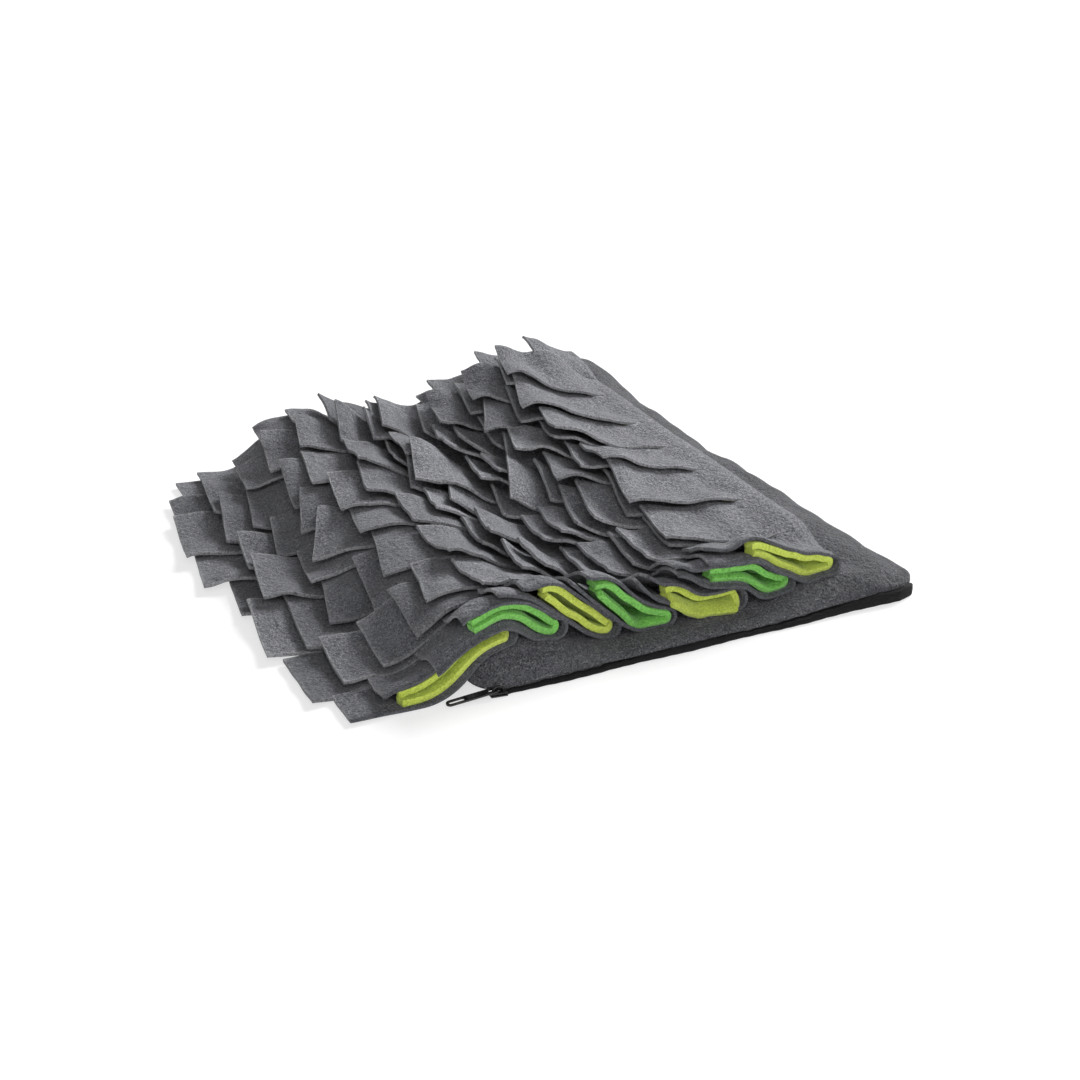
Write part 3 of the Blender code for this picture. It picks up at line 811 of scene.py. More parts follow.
class Layer:
    """One patch of cloth laid on the terrain: a flap, or a half of a fleece strip."""

    STEP = 1.5
    SPARE = 1.06
    FREE_RUN = 18.0
    HOLD = 40.0
    HOLD_RUN = 14.0
    TOP_SPACING = 0.7

    def __init__(
        self, cloth: Cloth, habit: Habit, root_x: float | Array, edge_y: Array, slope: float, rows: int
    ) -> None:
        """Keeps what the patch is.

        Args:
            cloth: Its cloth.
            habit: How it departs from lying flat.
            root_x: X of the fold that it starts from, for all its columns or for each of them.
            edge_y: Y of each column at the fold.
            slope: The steepest slope that it takes.
            rows: How many points it has from the fold to its tip.
        """
        self.cloth = cloth
        self.habit = habit
        self.root_x = root_x
        self.edge_y = edge_y
        self.slope = slope
        self.rows = rows
        self.reach = np.ones(len(edge_y))
        self.points = np.zeros((rows, len(edge_y), 3))

    def _plan(self, run: Array) -> tuple[Array, Array]:
        """Gives where the patch's points lie in plan, before it is curled.

        Args:
            run: The distances from the fold.

        Returns:
            X and Y, by row and column.
        """
        habit = self.habit
        middle = self.edge_y.mean()
        across = (self.edge_y - middle)[None, :]
        free = smooth((run - habit.slit) / self.FREE_RUN)[:, None]
        x = self.root_x - run[:, None] + habit.yaw * across * free
        swing = habit.yaw * np.maximum(run - habit.slit, 0.0)[:, None] * free
        y = middle + across * (1.0 + habit.widen * free) + swing
        return x, LIMITS.spread(x, y)

    def _style(self, run: Array, x: Array, y: Array) -> Array:
        """Gives how far the patch is held above where it would lie.

        Args:
            run: The distances from the fold.
            x: X of the points.
            y: Y of the points.

        Returns:
            The offsets, none below 0.
        """
        habit = self.habit
        share = np.clip((run - habit.slit) / (habit.length - habit.slit), 0.0, 1.2)[:, None]
        across = np.linspace(0.0, 1.0, len(self.edge_y))[None, :]
        free = smooth((share - habit.calm) / habit.ease)
        offset = habit.lift * share**3 + habit.near * free * (1.0 - across) ** 2
        offset = offset + habit.away * free * across**2
        turn = 2.0 * math.pi * (habit.count * across + habit.phase + habit.twist * share)
        offset = offset + habit.wave * free * (0.5 + 0.5 * np.sin(turn))
        for size, along, over, start in habit.crumple:
            offset = offset + size * free * (0.5 + 0.5 * np.sin(along * x + over * y + start))
        return offset

    def lay(self, terrain: Terrain, beside: Terrain | None,
            loft: Callable[[Array, Array], Array] | None) -> None:
        """Lays the patch: works out where its underside lies.

        Args:
            terrain: What lies under it.
            beside: The flaps of the same half that are already laid, or None.
            loft: Extra height by distance from the fold and Y, or None.
        """
        cloth, habit = self.cloth, self.habit
        run = np.arange(0.0, habit.length * self.SPARE + 2.0 * self.STEP, self.STEP)
        x, y = self._plan(run)
        under = terrain.read(x, y) + cloth.gap
        if beside is not None:
            hold = self.HOLD * (1.0 - smooth((run - habit.slit) / self.HOLD_RUN))[:, None]
            under = np.maximum(under, beside.read(x, y) + cloth.gap - hold)
        laid = held_up(under, run, cloth.bend, self.slope)
        laid = held_up(laid.T, self.edge_y, cloth.bend_across, cloth.slope_across).T
        laid = bridged(laid, run, cloth.hollow)
        laid = bridged(laid.T, self.edge_y, cloth.hollow_across).T
        laid = laid + self._style(run, x, y)
        if loft is not None:
            laid = laid + loft(run[:, None], y)
        self._resample(run, x, y, laid)

    def _resample(self, run: Array, x: Array, y: Array, laid: Array) -> None:
        """Cuts the patch to its length, measured along the cloth, and curls its end.

        Args:
            run: The distances from the fold in plan.
            x: X of the points.
            y: Y of the points.
            laid: Their heights.
        """
        habit = self.habit
        middle = laid.mean(axis=1)
        length = np.concatenate([[0.0], np.cumsum(np.hypot(np.diff(run), np.diff(middle)))])
        stations = np.linspace(0.0, habit.length, self.rows)
        at = np.interp(stations[:, None] * self.reach[None, :], length, run) / self.STEP
        low = np.minimum(at.astype(int), len(run) - 2)
        share = at - low
        column = np.arange(len(self.reach))[None, :]

        def cut(values: Array) -> Array:
            """Reads a grid at the stations."""
            return values[low, column] * (1.0 - share) + values[low + 1, column] * share

        px, py, pz = cut(x), cut(y), cut(laid)
        if habit.curl:
            dx, dz = np.diff(px, axis=0), np.diff(pz, axis=0)
            size = np.hypot(dx, dz)
            past = np.clip((stations[1:] - (habit.length - habit.curl_run)) / habit.curl_run, 0.0, 1.0)
            angle = np.arctan2(dz, -dx) + (math.radians(habit.curl) * past**1.5)[:, None]
            px = np.vstack([px[:1], px[:1] - np.cumsum(size * np.cos(angle), axis=0)])
            pz = np.vstack([pz[:1], pz[:1] + np.cumsum(size * np.sin(angle), axis=0)])
        self.points = np.stack([px, py, pz], axis=2)

    def thickness(self) -> Array | float:
        """Gives the cloth's thickness."""
        return self.cloth.thickness

    def middle(self) -> Array:
        """Gives the points of the cloth's middle surface."""
        return self.points + surface_normals(self.points) * (np.asarray(self.thickness()) / 2.0)[..., None]

    def top(self) -> Array:
        """Gives a fine grid of points on the cloth's top."""
        thick = np.asarray(self.thickness())[..., None]
        return refined(self.points + surface_normals(self.points) * thick, self.TOP_SPACING)


class FleeceHalf(Layer):
    """Half of a fleece strip: pressed thin under the rows, and full at its cut front end."""

    PRESSED = 0.3
    FULL_RUN = 34.0
    taper = 0.0

    def thickness(self) -> Array:
        """Gives the fleece's thickness.

        Returns:
            The thickness, by row and column.
        """
        inside = smooth((self.points[..., 1] - self.points[:, :1, 1]) / self.FULL_RUN)
        thinned = 1.0 - self.taper * np.linspace(0.0, 1.0, self.rows)[:, None] ** 1.5
        return self.cloth.thickness * (1.0 - (1.0 - self.PRESSED) * inside) * thinned


# ------------------------------------------------------------------------------------------- pieces


def grid_mesh(name: str, points: Array, cut: Array, attributes: dict[str, Array]) -> bpy.types.Object:
    """Makes a sheet from a grid of points, with some of its cells cut away.

    Args:
        name: The object's name.
        points: The points in millimetres, by row, column and coordinate.
        cut: Which cells are cut away, by row and column.
        attributes: Numbers by row and column that the finish reads.

    Returns:
        The object.
    """
    rows, columns = points.shape[:2]
    bm = bmesh.new()
    bmesh.ops.create_grid(bm, x_segments=rows - 1, y_segments=columns - 1, size=0.5)
    waste = []
    for face in bm.faces:
        middle = face.calc_center_median()
        i = int((middle.x + 0.5) * (rows - 1))
        j = int((middle.y + 0.5) * (columns - 1))
        if cut[i, j]:
            waste.append(face)
    bmesh.ops.delete(bm, geom=waste, context="FACES")
    mesh = bpy.data.meshes.new(name)
    bm.to_mesh(mesh)
    bm.free()
    flat = np.empty(len(mesh.vertices) * 3, np.float32)
    mesh.vertices.foreach_get("co", flat)
    flat = flat.reshape(-1, 3)
    i = np.rint((flat[:, 0] + 0.5) * (rows - 1)).astype(int)
    j = np.rint((flat[:, 1] + 0.5) * (columns - 1)).astype(int)
    mesh.vertices.foreach_set("co", (points[i, j] * MM).astype(np.float32).ravel())
    for label, values in attributes.items():
        attribute = mesh.attributes.new(label, "FLOAT", "POINT")
        attribute.data.foreach_set("value", values[i, j].astype(np.float32))
    mesh.shade_smooth()
    mesh.update()
    obj = bpy.data.objects.new(name, mesh)
    bpy.context.scene.collection.objects.link(obj)
    return obj


def thicken(obj: bpy.types.Object, cloth: Cloth, group: str = "") -> None:
    """Gives a sheet its cloth's thickness about its middle surface, and rounds its cut edges.

    Args:
        obj: The sheet.
        cloth: Its cloth.
        group: The vertex group that scales the thickness, if any.
    """
    solid = obj.modifiers.new("thickness", "SOLIDIFY")
    solid.thickness = cloth.thickness * MM
    solid.offset = 0.0
    solid.vertex_group = group
    rounded = obj.modifiers.new("cut_edge", "BEVEL")
    rounded.width = cloth.rounding * MM
    rounded.segments = 2
    rounded.limit_method = "ANGLE"
    rounded.angle_limit = math.radians(55.0)


def dress(obj: bpy.types.Object, material: bpy.types.Material, nodes: Sequence[str] = ()) -> None:
    """Gives a piece its finish and its body, and hides the solids that it stands for.

    Args:
        obj: The piece.
        material: Its finish.
        nodes: The solids that it stands for.
    """
    obj.data.materials.clear()
    obj.data.materials.append(material)
    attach(obj, BODY)
    if nodes:
        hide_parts(*nodes)
    LOG.info("%s: %d faces", obj.name, len(obj.data.polygons))


def object_of(name: str, bm: bmesh.types.BMesh) -> bpy.types.Object:
    """Turns a bmesh in millimetres into a smooth object.

    Args:
        name: The object's name.
        bm: The bmesh, which is freed.

    Returns:
        The object.
    """
    bmesh.ops.scale(bm, vec=(MM, MM, MM), verts=bm.verts)
    mesh = bpy.data.meshes.new(name)
    bm.to_mesh(mesh)
    bm.free()
    mesh.shade_smooth()
    obj = bpy.data.objects.new(name, mesh)
    bpy.context.scene.collection.objects.link(obj)
    return obj


def edges_of(verts: Sequence[bmesh.types.BMVert]) -> list[bmesh.types.BMEdge]:
    """Gives the edges that meet at some vertices, each once."""
    return list(dict.fromkeys(edge for vert in verts for edge in vert.link_edges))


@dataclass
class Pouch:
    """The soft zipped pouch: its outline, its crown and its draw-in at the edges."""

    half_width: float = 140.0
    half_depth: float = 181.0
    corner: float = 17.0
    edge_z: float = 5.2
    corner_rise: float = 5.5
    rise_from: tuple[float, float] = (20.0, 90.0)
    rise_run: tuple[float, float] = (110.0, 85.0)
    crease: float = 1.6
    crease_x: float = 128.0
    crease_width: float = 5.0
    crease_slant: float = 0.05
    crease_end: float = 120.0
    crease_fade: float = 60.0
    cells: tuple[int, int] = (112, 144)
    left_round: float = 13.0
    far_round: float = 15.0
    far_drop: float = 0.55
    # shade, shade_x, shade_run: painted shade, the cover painted darker towards the right from shade_x over
    # shade_run, by shade at most.
    shade: float = 0.42
    shade_x: float = 60.0
    shade_run: float = 50.0
    ripple: float = 0.4
    looseness: float = 1.7
    pucker: float = 0.45
    wobble: float = 0.35
    side: tuple[tuple[float, float], ...] = (
        (-0.7, 0.88), (-0.9, 0.70), (0.5, 0.56), (-0.3, 0.42), (0.8, 0.22), (3.2, 0.06), (8.0, 0.0))
    crown_x: tuple[float, ...] = (-127.0, -50.0, 22.0, 86.0)
    crown_y: tuple[float, ...] = (-165.0, -120.0, 0.0, 120.0, 165.0)
    crown: tuple[tuple[float, ...], ...] = (
        (23.0, 8.5, 8.5, 18.0),
        (24.0, 14.0, 22.0, 32.0),
        (21.0, 13.0, 28.0, 36.0),
        (20.0, 13.0, 37.0, 41.0),
        (27.0, 29.0, 48.0, 52.0),
    )

    def lip(self, x: Array, y: Array) -> Array:
        """Gives the height of the pouch's edge, which stands up towards the right front corner."""
        right, front = (x - self.rise_from[0]) / self.rise_run[0], (-y - self.rise_from[1]) / self.rise_run[1]
        return self.edge_z + self.corner_rise * smooth(right) * smooth(front)

    def top(self, x: Array, y: Array) -> Array:
        """Gives the height of the pouch's top.

        Args:
            x: The points' X.
            y: The points' Y.

        Returns:
            The heights.
        """
        heights = np.array(self.crown)
        i = np.clip(np.searchsorted(self.crown_y, y) - 1, 0, len(self.crown_y) - 2)
        j = np.clip(np.searchsorted(self.crown_x, x) - 1, 0, len(self.crown_x) - 2)
        levels, lines = np.array(self.crown_y), np.array(self.crown_x)
        along = smooth((y - levels[i]) / (levels[i + 1] - levels[i]))
        across = smooth((x - lines[j]) / (lines[j + 1] - lines[j]))
        near = heights[i, j] * (1.0 - across) + heights[i, j + 1] * across
        away = heights[i + 1, j] * (1.0 - across) + heights[i + 1, j + 1] * across
        crown = near * (1.0 - along) + away * along
        left = np.sqrt(1.0 - np.clip((self.crown_x[0] - x) / self.left_round, 0.0, 1.0) ** 2)
        right = 1.0 - np.clip((x - self.crown_x[-1]) / (self.half_width - self.crown_x[-1]), 0.0, 1.0) ** 2.2
        front = 1.0 - np.clip((self.crown_y[0] - y) / (self.half_depth + self.crown_y[0]), 0.0, 1.0) ** 2
        far = 1.0 - self.far_drop * np.clip((y - self.crown_y[-1]) / self.far_round, 0.0, 1.0) ** 2
        edge = self.lip(x, y)
        rest = edge + (np.maximum(crown, edge) - edge) * left * right * front * far
        crease = np.exp(-(((x - self.crease_x + self.crease_slant * y) / self.crease_width) ** 2))
        crease = crease * smooth((self.crease_end - y) / self.crease_fade)
        return rest - self.crease * crease * smooth((rest - edge) / 3.0)

    def fill_terrain(self, terrain: Terrain) -> None:
        """Puts the pouch's top into the terrain.

        Args:
            terrain: The terrain.
        """
        nx, ny = terrain.heights.shape
        x = terrain.low[0] + np.arange(nx)[:, None] * terrain.CELL + np.zeros((1, ny))
        y = terrain.low[1] + np.arange(ny)[None, :] * terrain.CELL + np.zeros((nx, 1))
        inside = (np.abs(x) <= self.half_width) & (np.abs(y) <= self.half_depth)
        near_x = np.clip(x, -self.half_width, self.half_width)
        near_y = np.clip(y, -self.half_depth, self.half_depth)
        terrain.heights[:] = np.where(inside, self.top(near_x, near_y), terrain.heights)

    def _looseness(self, x: float, y: float, z: float) -> float:
        """Gives how far the cover swells or sinks: faint ripples, and loose swells outside the rows.

        Args:
            x: The point's X.
            y: The point's Y.
            z: The height of the plain crown there.

        Returns:
            The offset.
        """
        ripple = math.sin(x * 0.21 + y * 0.05) * math.sin(y * 0.17 + 1.0) + math.sin(x * 0.06 - y * 0.09)
        free = max(smooth((x - 98.0) / 14.0), smooth((y - 167.0) / 8.0), smooth((-y - 164.0) / 8.0))
        swell = math.sin(y * 0.052 + 0.8) * math.sin(x * 0.045 + 0.5) + 0.6 * math.sin(x * 0.031 + y * 0.023)
        pucker = math.sin(y * 0.19 + 1.4 * math.sin(x * 0.07)) * math.sin(x * 0.16 + 1.1 * math.sin(y * 0.06))
        raised = float(smooth((z - self.edge_z) / 12.0))
        return self.ripple * ripple + self.looseness * (swell + self.pucker * pucker) * free * raised

    def build(self, material: bpy.types.Material) -> bpy.types.Object:
        """Makes the pouch: a crowned top, rounded sides and a flat underside.

        Args:
            material: Its finish.

        Returns:
            The object.
        """
        bm = bmesh.new()
        bmesh.ops.create_grid(bm, x_segments=self.cells[0], y_segments=self.cells[1], size=0.5)
        dark = bm.verts.layers.float.new("painted_shade")
        inner_x, inner_y = self.half_width - self.corner, self.half_depth - self.corner
        for vert in bm.verts:
            x, y = vert.co.x * 2.0 * self.half_width, vert.co.y * 2.0 * self.half_depth
            z = float(self.top(np.array(x), np.array(y)))
            over_x, over_y = abs(x) - inner_x, abs(y) - inner_y
            if over_x > 0.0 and over_y > 0.0:
                scale = max(over_x, over_y) / math.hypot(over_x, over_y)
                x = math.copysign(inner_x + over_x * scale, x)
                y = math.copysign(inner_y + over_y * scale, y)
            vert.co = (x, y, z + self._looseness(x, y, z))
            # Painted shade: darker towards the right side of the cover.
            vert[dark] = self.shade * float(smooth((x - self.shade_x) / self.shade_run))
        edges = [edge for edge in bm.edges if edge.is_boundary]
        for inset, share in self.side:
            made = bmesh.ops.extrude_edge_only(bm, edges=edges)["geom"]
            edges = [item for item in made if isinstance(item, bmesh.types.BMEdge) and item.is_boundary]
            for vert in (item for item in made if isinstance(item, bmesh.types.BMVert)):
                flat = Vector((vert.co.x, vert.co.y, 0.0))
                anchor = Vector((np.clip(flat.x, -inner_x, inner_x), np.clip(flat.y, -inner_y, inner_y), 0.0))
                wobble = self.wobble * math.sin(flat.x * 0.13 + 1.0) * math.sin(flat.x * 0.05 + flat.y * 0.08)
                vert.co = anchor + (flat - anchor).normalized() * (self.corner - inset + wobble)
                vert.co.z = share * float(self.lip(np.array(flat.x), np.array(flat.y)))
        bmesh.ops.contextual_create(bm, geom=edges)
        bmesh.ops.recalc_face_normals(bm, faces=bm.faces[:])
        obj = object_of("pouch_cover", bm)
        dress(obj, material, ["pouch"])
        return obj


@dataclass
class Strip:
    """One row: a grey felt strip, folded and cut into flaps, with a fleece strip folded inside it."""

    LOWER_CALM = 0.6
    END_CALM = 0.35
    SLIT = 0.4
    FAR_SHORT = 16.0
    FAR_CUT = 0.4
    # Painted shade in the creases round the mouths, on the front end's first two columns.
    END_SHADE = 0.65
    # How much more painted shade a flap may get at random, standing in for how its angle meets the light.
    SHADE_SPREAD = 0.36
    BESIDE_INSET = 4
    CRUMPLES = 3
    FELT_BULGE = 6.0
    FLEECE_BULGE = 2.6
    FLEECE_CRUMPLE = ((0.4, 0.2, 0.11, 1.0), (0.3, -0.13, 0.2, 2.0))
    FINE_RUN = 18.0
    FINE_COLUMNS = 18
    FAR_COLUMNS = 64
    MOUTH_RUN = 22.0
    RISE_RUN = 30.0
    LIP = 2.0
    PUFF_HOLD = 25.0
    PUFF_FADE = 55.0
    PUFF_EASE = 25.0
    LIFT_ZONE = 50.0
    LIFT_EASE = 45.0
    LIFT_RUN = 28.0
    CUT_START = 6.0
    CUT_RUN = 16.0
    CUT_SHARE = 0.9
    FAR_CUT_ZONE = 70.0
    FAR_CUT_RUN = 30.0

    number: int
    row: Row
    rows: int = 40
    columns: int = 19
    nose: int = 7
    fleece_rows: int = 30
    fleece_inset: float = 6.5
    front_inset: float = 3.0
    front_run: float = 14.0
    recess: float = 1.2
    felt_fold: float = 14.0
    fleece_fold: float = 8.0
    lower: list[Layer] = field(default_factory=list)
    upper: list[Layer] = field(default_factory=list)
    inner: list[FleeceHalf] = field(default_factory=list)

    def lay(self, terrain: Terrain, dice: np.random.Generator) -> None:
        """Lays the row's four layers on the terrain, from the bottom up.

        Args:
            terrain: What lies under them, which they then raise.
            dice: The random numbers.
        """
        self.lower = self._lay_flaps(terrain, dice, 0)
        self.inner = [self._lay_fleece(terrain, half) for half in (0, 1)]
        self.upper = self._lay_flaps(terrain, dice, 1)

    def _slits(self, dice: np.random.Generator) -> Array:
        """Gives Y of the strip's ends and slits, each a little off.

        Args:
            dice: The random numbers.

        Returns:
            The nine places.
        """
        edges = np.concatenate([[0.0], np.cumsum([flap.width for flap in FLAPS])])
        places = LIMITS.front + (LIMITS.far - LIMITS.front) * edges / edges[-1]
        places[1:-1] += dice.uniform(-2.0, 2.0, len(places) - 2)
        return places

    def _habit(self, dice: np.random.Generator, half: int, index: int) -> Habit:
        """Draws how one flap departs from lying flat.

        Args:
            dice: The random numbers.
            half: 0 for the lower half, 1 for the upper one.
            index: Which flap it is, counted from the front end.

        Returns:
            Its habit.
        """
        row, flap, last = self.row, FLAPS[index], len(FLAPS) - 1
        crumple = tuple(
            (row.rumple * dice.uniform(0.1, 0.35), *dice.uniform(-0.38, 0.38, 2), dice.uniform(0.0, 6.28))
            for _ in range(self.CRUMPLES)
        )
        lively = (1.0 if half else self.LOWER_CALM) * (self.END_CALM if index == 0 else 1.0)
        length = (row.upper if half else row.lower) * flap.reach
        slit = row.slit_upper if half else row.slit_lower
        swing = row.swing * flap.swing * (row.far_swing if index == last else 1.0)
        length *= {0: row.front_reach, last: row.far_reach}.get(index, 1.0)
        return Habit(
            length=length + dice.uniform(-4.0, 4.0),
            slit=slit + dice.uniform(-2.0, 3.0),
            yaw=math.radians(dice.normal(0.0, row.yaw) * lively + swing),
            widen=dice.uniform(0.5, 1.5) * row.overlap * (1.0 if index else 0.2),
            lift=dice.uniform(0.2, 1.0) * row.lift,
            near=dice.uniform(0.2, 1.0) * row.near * lively * {1: 0.5, last: 0.0}.get(index, 1.0),
            away=dice.uniform(0.0, 0.6) * row.near * lively * (0.0 if index == last else 1.0),
            wave=dice.uniform(0.3, 1.0) * row.wave * lively,
            count=dice.uniform(0.8, 1.7),
            phase=dice.uniform(0.0, 1.0),
            twist=dice.uniform(-0.3, 0.3),
            curl=dice.uniform(-0.6, 1.0) * row.curl * lively,
            curl_run=dice.uniform(14.0, 26.0),
            calm=row.calm if half else max(row.calm, Habit.calm),
            ease=row.ease if half else Habit.ease,
            crumple=crumple,
        )

    def _lay_flaps(self, terrain: Terrain, dice: np.random.Generator, half: int) -> list[Layer]:
        """Lays the eight flaps of one half: the two at the ends first, and the others over their edges.

        Args:
            terrain: What lies under them, which they then raise.
            dice: The random numbers.
            half: 0 for the lower half, 1 for the upper one.

        Returns:
            The flaps.
        """
        row, last = self.row, len(FLAPS) - 1
        places = self._slits(dice)
        beside = Terrain(terrain.low, terrain.high, Terrain.EMPTY)
        flaps: dict[int, Layer] = {}
        between = range(1, last) if row.in_turn else 1 + dice.permutation(last - 1)
        for index in (0, last, *between):
            start = self.SLIT if index else (row.tuck if half else -row.lead)
            columns = np.linspace(places[index] + start, places[index + 1] - self.SLIT, self.columns)
            cloth = FELT if index else replace(FRONT_FELT, bend=row.front_bend, hollow=row.front_hollow)
            slope = row.slope if index else min(row.slope, row.front_slope)
            flap = Layer(cloth, self._habit(dice, half, index), row.fold_x, columns, slope, self.rows)
            rise = None if index else self._rise
            flap.lay(terrain, beside, self._puff if half else rise)
            beside.pile(flap.top()[:, self.BESIDE_INSET : -self.BESIDE_INSET])
            flaps[index] = flap
        for flap in flaps.values():
            terrain.pile(flap.top())
        return [flaps[index] for index in sorted(flaps)]

    def _puff(self, run: Array, y: Array) -> Array:
        """Gives how loosely the upper half stands over the fold, away from its front end.

        Args:
            run: The points' distances from the fold.
            y: The points' Y.

        Returns:
            The extra heights.
        """
        near = 1.0 - smooth((run - self.PUFF_HOLD) / self.PUFF_FADE)
        away = smooth((y - LIMITS.front - self.front_run) / self.PUFF_EASE)
        far = smooth((y - LIMITS.far + self.LIFT_ZONE) / self.LIFT_EASE) * smooth(run / self.LIFT_RUN)
        return self.row.puff * near * away + self.row.far_lift * far

    def _rise(self, run: Array, y: Array) -> Array:
        """Gives how far the lower half's front flap stands off what lies under it."""
        front = np.exp(-(((y - LIMITS.front) / self.RISE_RUN) ** 2))
        return eased(run / self.row.lower, self.row.rise) * front

    def _lay_fleece(self, terrain: Terrain, half: int) -> FleeceHalf:
        """Lays one half of the fleece strip.

        Args:
            terrain: What lies under it, which it then raises.
            half: 0 for the lower half, 1 for the upper one.

        Returns:
            The half.
        """
        row, mouth = self.row, self.row.mouth
        front = np.linspace(0.0, self.FINE_RUN, self.FINE_COLUMNS)
        rest = np.linspace(self.FINE_RUN, LIMITS.far - LIMITS.front - self.FAR_SHORT, self.FAR_COLUMNS)[1:]
        columns = LIMITS.front + self.recess + np.concatenate([front, rest])
        columns[: len(front)] += (half * mouth.step_back - mouth.reach_out) * (1.0 - front / front[-1])
        habit = Habit(length=row.inner, slit=0.0, crumple=self.FLEECE_CRUMPLE)
        outer = 1.0 - smooth((columns - LIMITS.front) / self.front_run)
        fold_x = row.fold_x - self.fleece_inset - (self.front_inset - self.fleece_inset) * outer
        cloth = replace(FLEECE, bend=row.front_bend, hollow=row.front_hollow)
        layer = FleeceHalf(cloth, habit, fold_x, columns, min(row.slope, row.front_slope), self.fleece_rows)
        layer.taper = row.taper
        layer.reach = 1.0 - row.deep_cut * smooth((columns - LIMITS.front - self.CUT_START) / self.CUT_RUN)
        far = smooth((columns - LIMITS.far + self.FAR_CUT_ZONE) / self.FAR_CUT_RUN)
        layer.reach *= 1.0 - self.FAR_CUT * far

        def loft(run: Array, y: Array) -> Array:
            """Opens the mouth between the halves at the front end, and lets it hang out a little.

            Args:
                run: The points' distances from the fold.
                y: The points' Y.

            Returns:
                The extra heights.
            """
            table = mouth.gap if half else mouth.bump
            opened = eased(run / row.inner, table) * np.exp(-(((y - LIMITS.front) / self.MOUTH_RUN) ** 2))
            out = np.clip((LIMITS.front + self.LIP - y) / (mouth.reach_out + self.LIP), 0.0, 1.0)
            return opened - mouth.droop * out**1.5 * (1.0 - 0.5 * half)

        layer.lay(terrain, None, loft)
        terrain.pile(layer.top())
        return layer

    def _folded(self, lower: Array, upper: Array, depth: float) -> Array:
        """Joins two halves by a round fold.

        Args:
            lower: The lower half's points from the fold to the tip.
            upper: The upper half's points from the fold to the tip.
            depth: How far the fold bulges at most.

        Returns:
            The whole strip's points, from the lower tip to the upper one.
        """
        middle, reach = (lower[0] + upper[0]) / 2.0, (upper[0] - lower[0]) / 2.0
        bulge = np.minimum(depth, np.abs(reach[:, 2]) * 0.95)
        nose = []
        for turn in np.linspace(0.0, math.pi, self.nose + 2)[1:-1]:
            ring = middle - reach * math.cos(turn)
            ring[:, 0] += bulge * math.sin(turn)
            nose.append(ring)
        return np.concatenate([lower[::-1], np.stack(nose), upper])

    def build(self, felt: bpy.types.Material, fleece: bpy.types.Material) -> None:
        """Makes the row's two strips: the grey felt and the coloured fleece."""
        self._build_felt(felt)
        self._build_fleece(fleece)

    def _build_felt(self, material: bpy.types.Material) -> None:
        """Makes the grey strip with its flaps.

        Args:
            material: Its finish.
        """
        lower = np.concatenate([flap.middle() for flap in self.lower], axis=1)
        upper = np.concatenate([flap.middle() for flap in self.upper], axis=1)
        points = self._folded(lower, upper, self.FELT_BULGE)
        # Painted shade: each flap is darkened by the row's base plus a random share, standing in for how its
        # angle meets the light.
        flap_shades = self.row.tone + np.random.default_rng(self.number).uniform(0.0, self.SHADE_SPREAD, (2, len(FLAPS)))
        shade = np.repeat(flap_shades, self.columns, axis=1)
        total = points.shape[0]
        dark = np.where(np.arange(total)[:, None] < total // 2, shade[:1], shade[1:])
        # Painted shade in the creases round the fleece mouths.
        dark[:, :2] = self.END_SHADE
        edge = np.zeros(points.shape[:2])
        cut = np.zeros((total - 1, points.shape[1] - 1), bool)
        for half, flaps in enumerate((self.lower, self.upper)):
            for index, flap in enumerate(flaps):
                first, last = index * self.columns, (index + 1) * self.columns - 1
                root = int(flap.habit.slit / flap.habit.length * (self.rows - 1))
                free = slice(total - self.rows + root, None) if half else slice(0, self.rows - root)
                edge[free, first] = edge[free, last] = 1.0
                edge[-half, first : last + 1] = 1.0
                if index + 1 < len(flaps):
                    cut[free if half else slice(0, self.rows - root - 1), last] = True
        edge[:, 0] = edge[:, -1] = 0.0
        obj = grid_mesh(f"felt_strip_{self.number}", points, cut, {"cut_edge": edge, "painted_shade": dark})
        thicken(obj, FELT)
        dress(obj, material, [f"row_{self.number}"])

    def _build_fleece(self, material: bpy.types.Material) -> None:
        """Makes the fleece strip.

        Args:
            material: Its finish.
        """
        lower, upper = self.inner
        points = self._folded(lower.middle(), upper.middle(), self.FLEECE_BULGE)
        thick = lower.thickness()
        thick = np.concatenate([thick[::-1], np.repeat(thick[:1], self.nose, 0), upper.thickness()])
        edge = np.zeros(points.shape[:2])
        edge[:, 0] = edge[0] = edge[-1] = 1.0
        cut = np.zeros((points.shape[0] - 1, points.shape[1] - 1), bool)
        obj = grid_mesh(f"fleece_strip_{self.number}", points, cut,
                        {"cut_edge": edge, "fullness": thick / FLEECE.thickness})
        group = obj.vertex_groups.new(name="fullness")
        values = np.empty(len(obj.data.vertices), np.float32)
        obj.data.attributes["fullness"].data.foreach_get("value", values)
        for index, value in enumerate(values):
            group.add([index], float(value), "REPLACE")
        obj.data.attributes.remove(obj.data.attributes["fullness"])
        thicken(obj, FLEECE, group.name)
        dress(obj, material, [f"fill_{self.number}"])


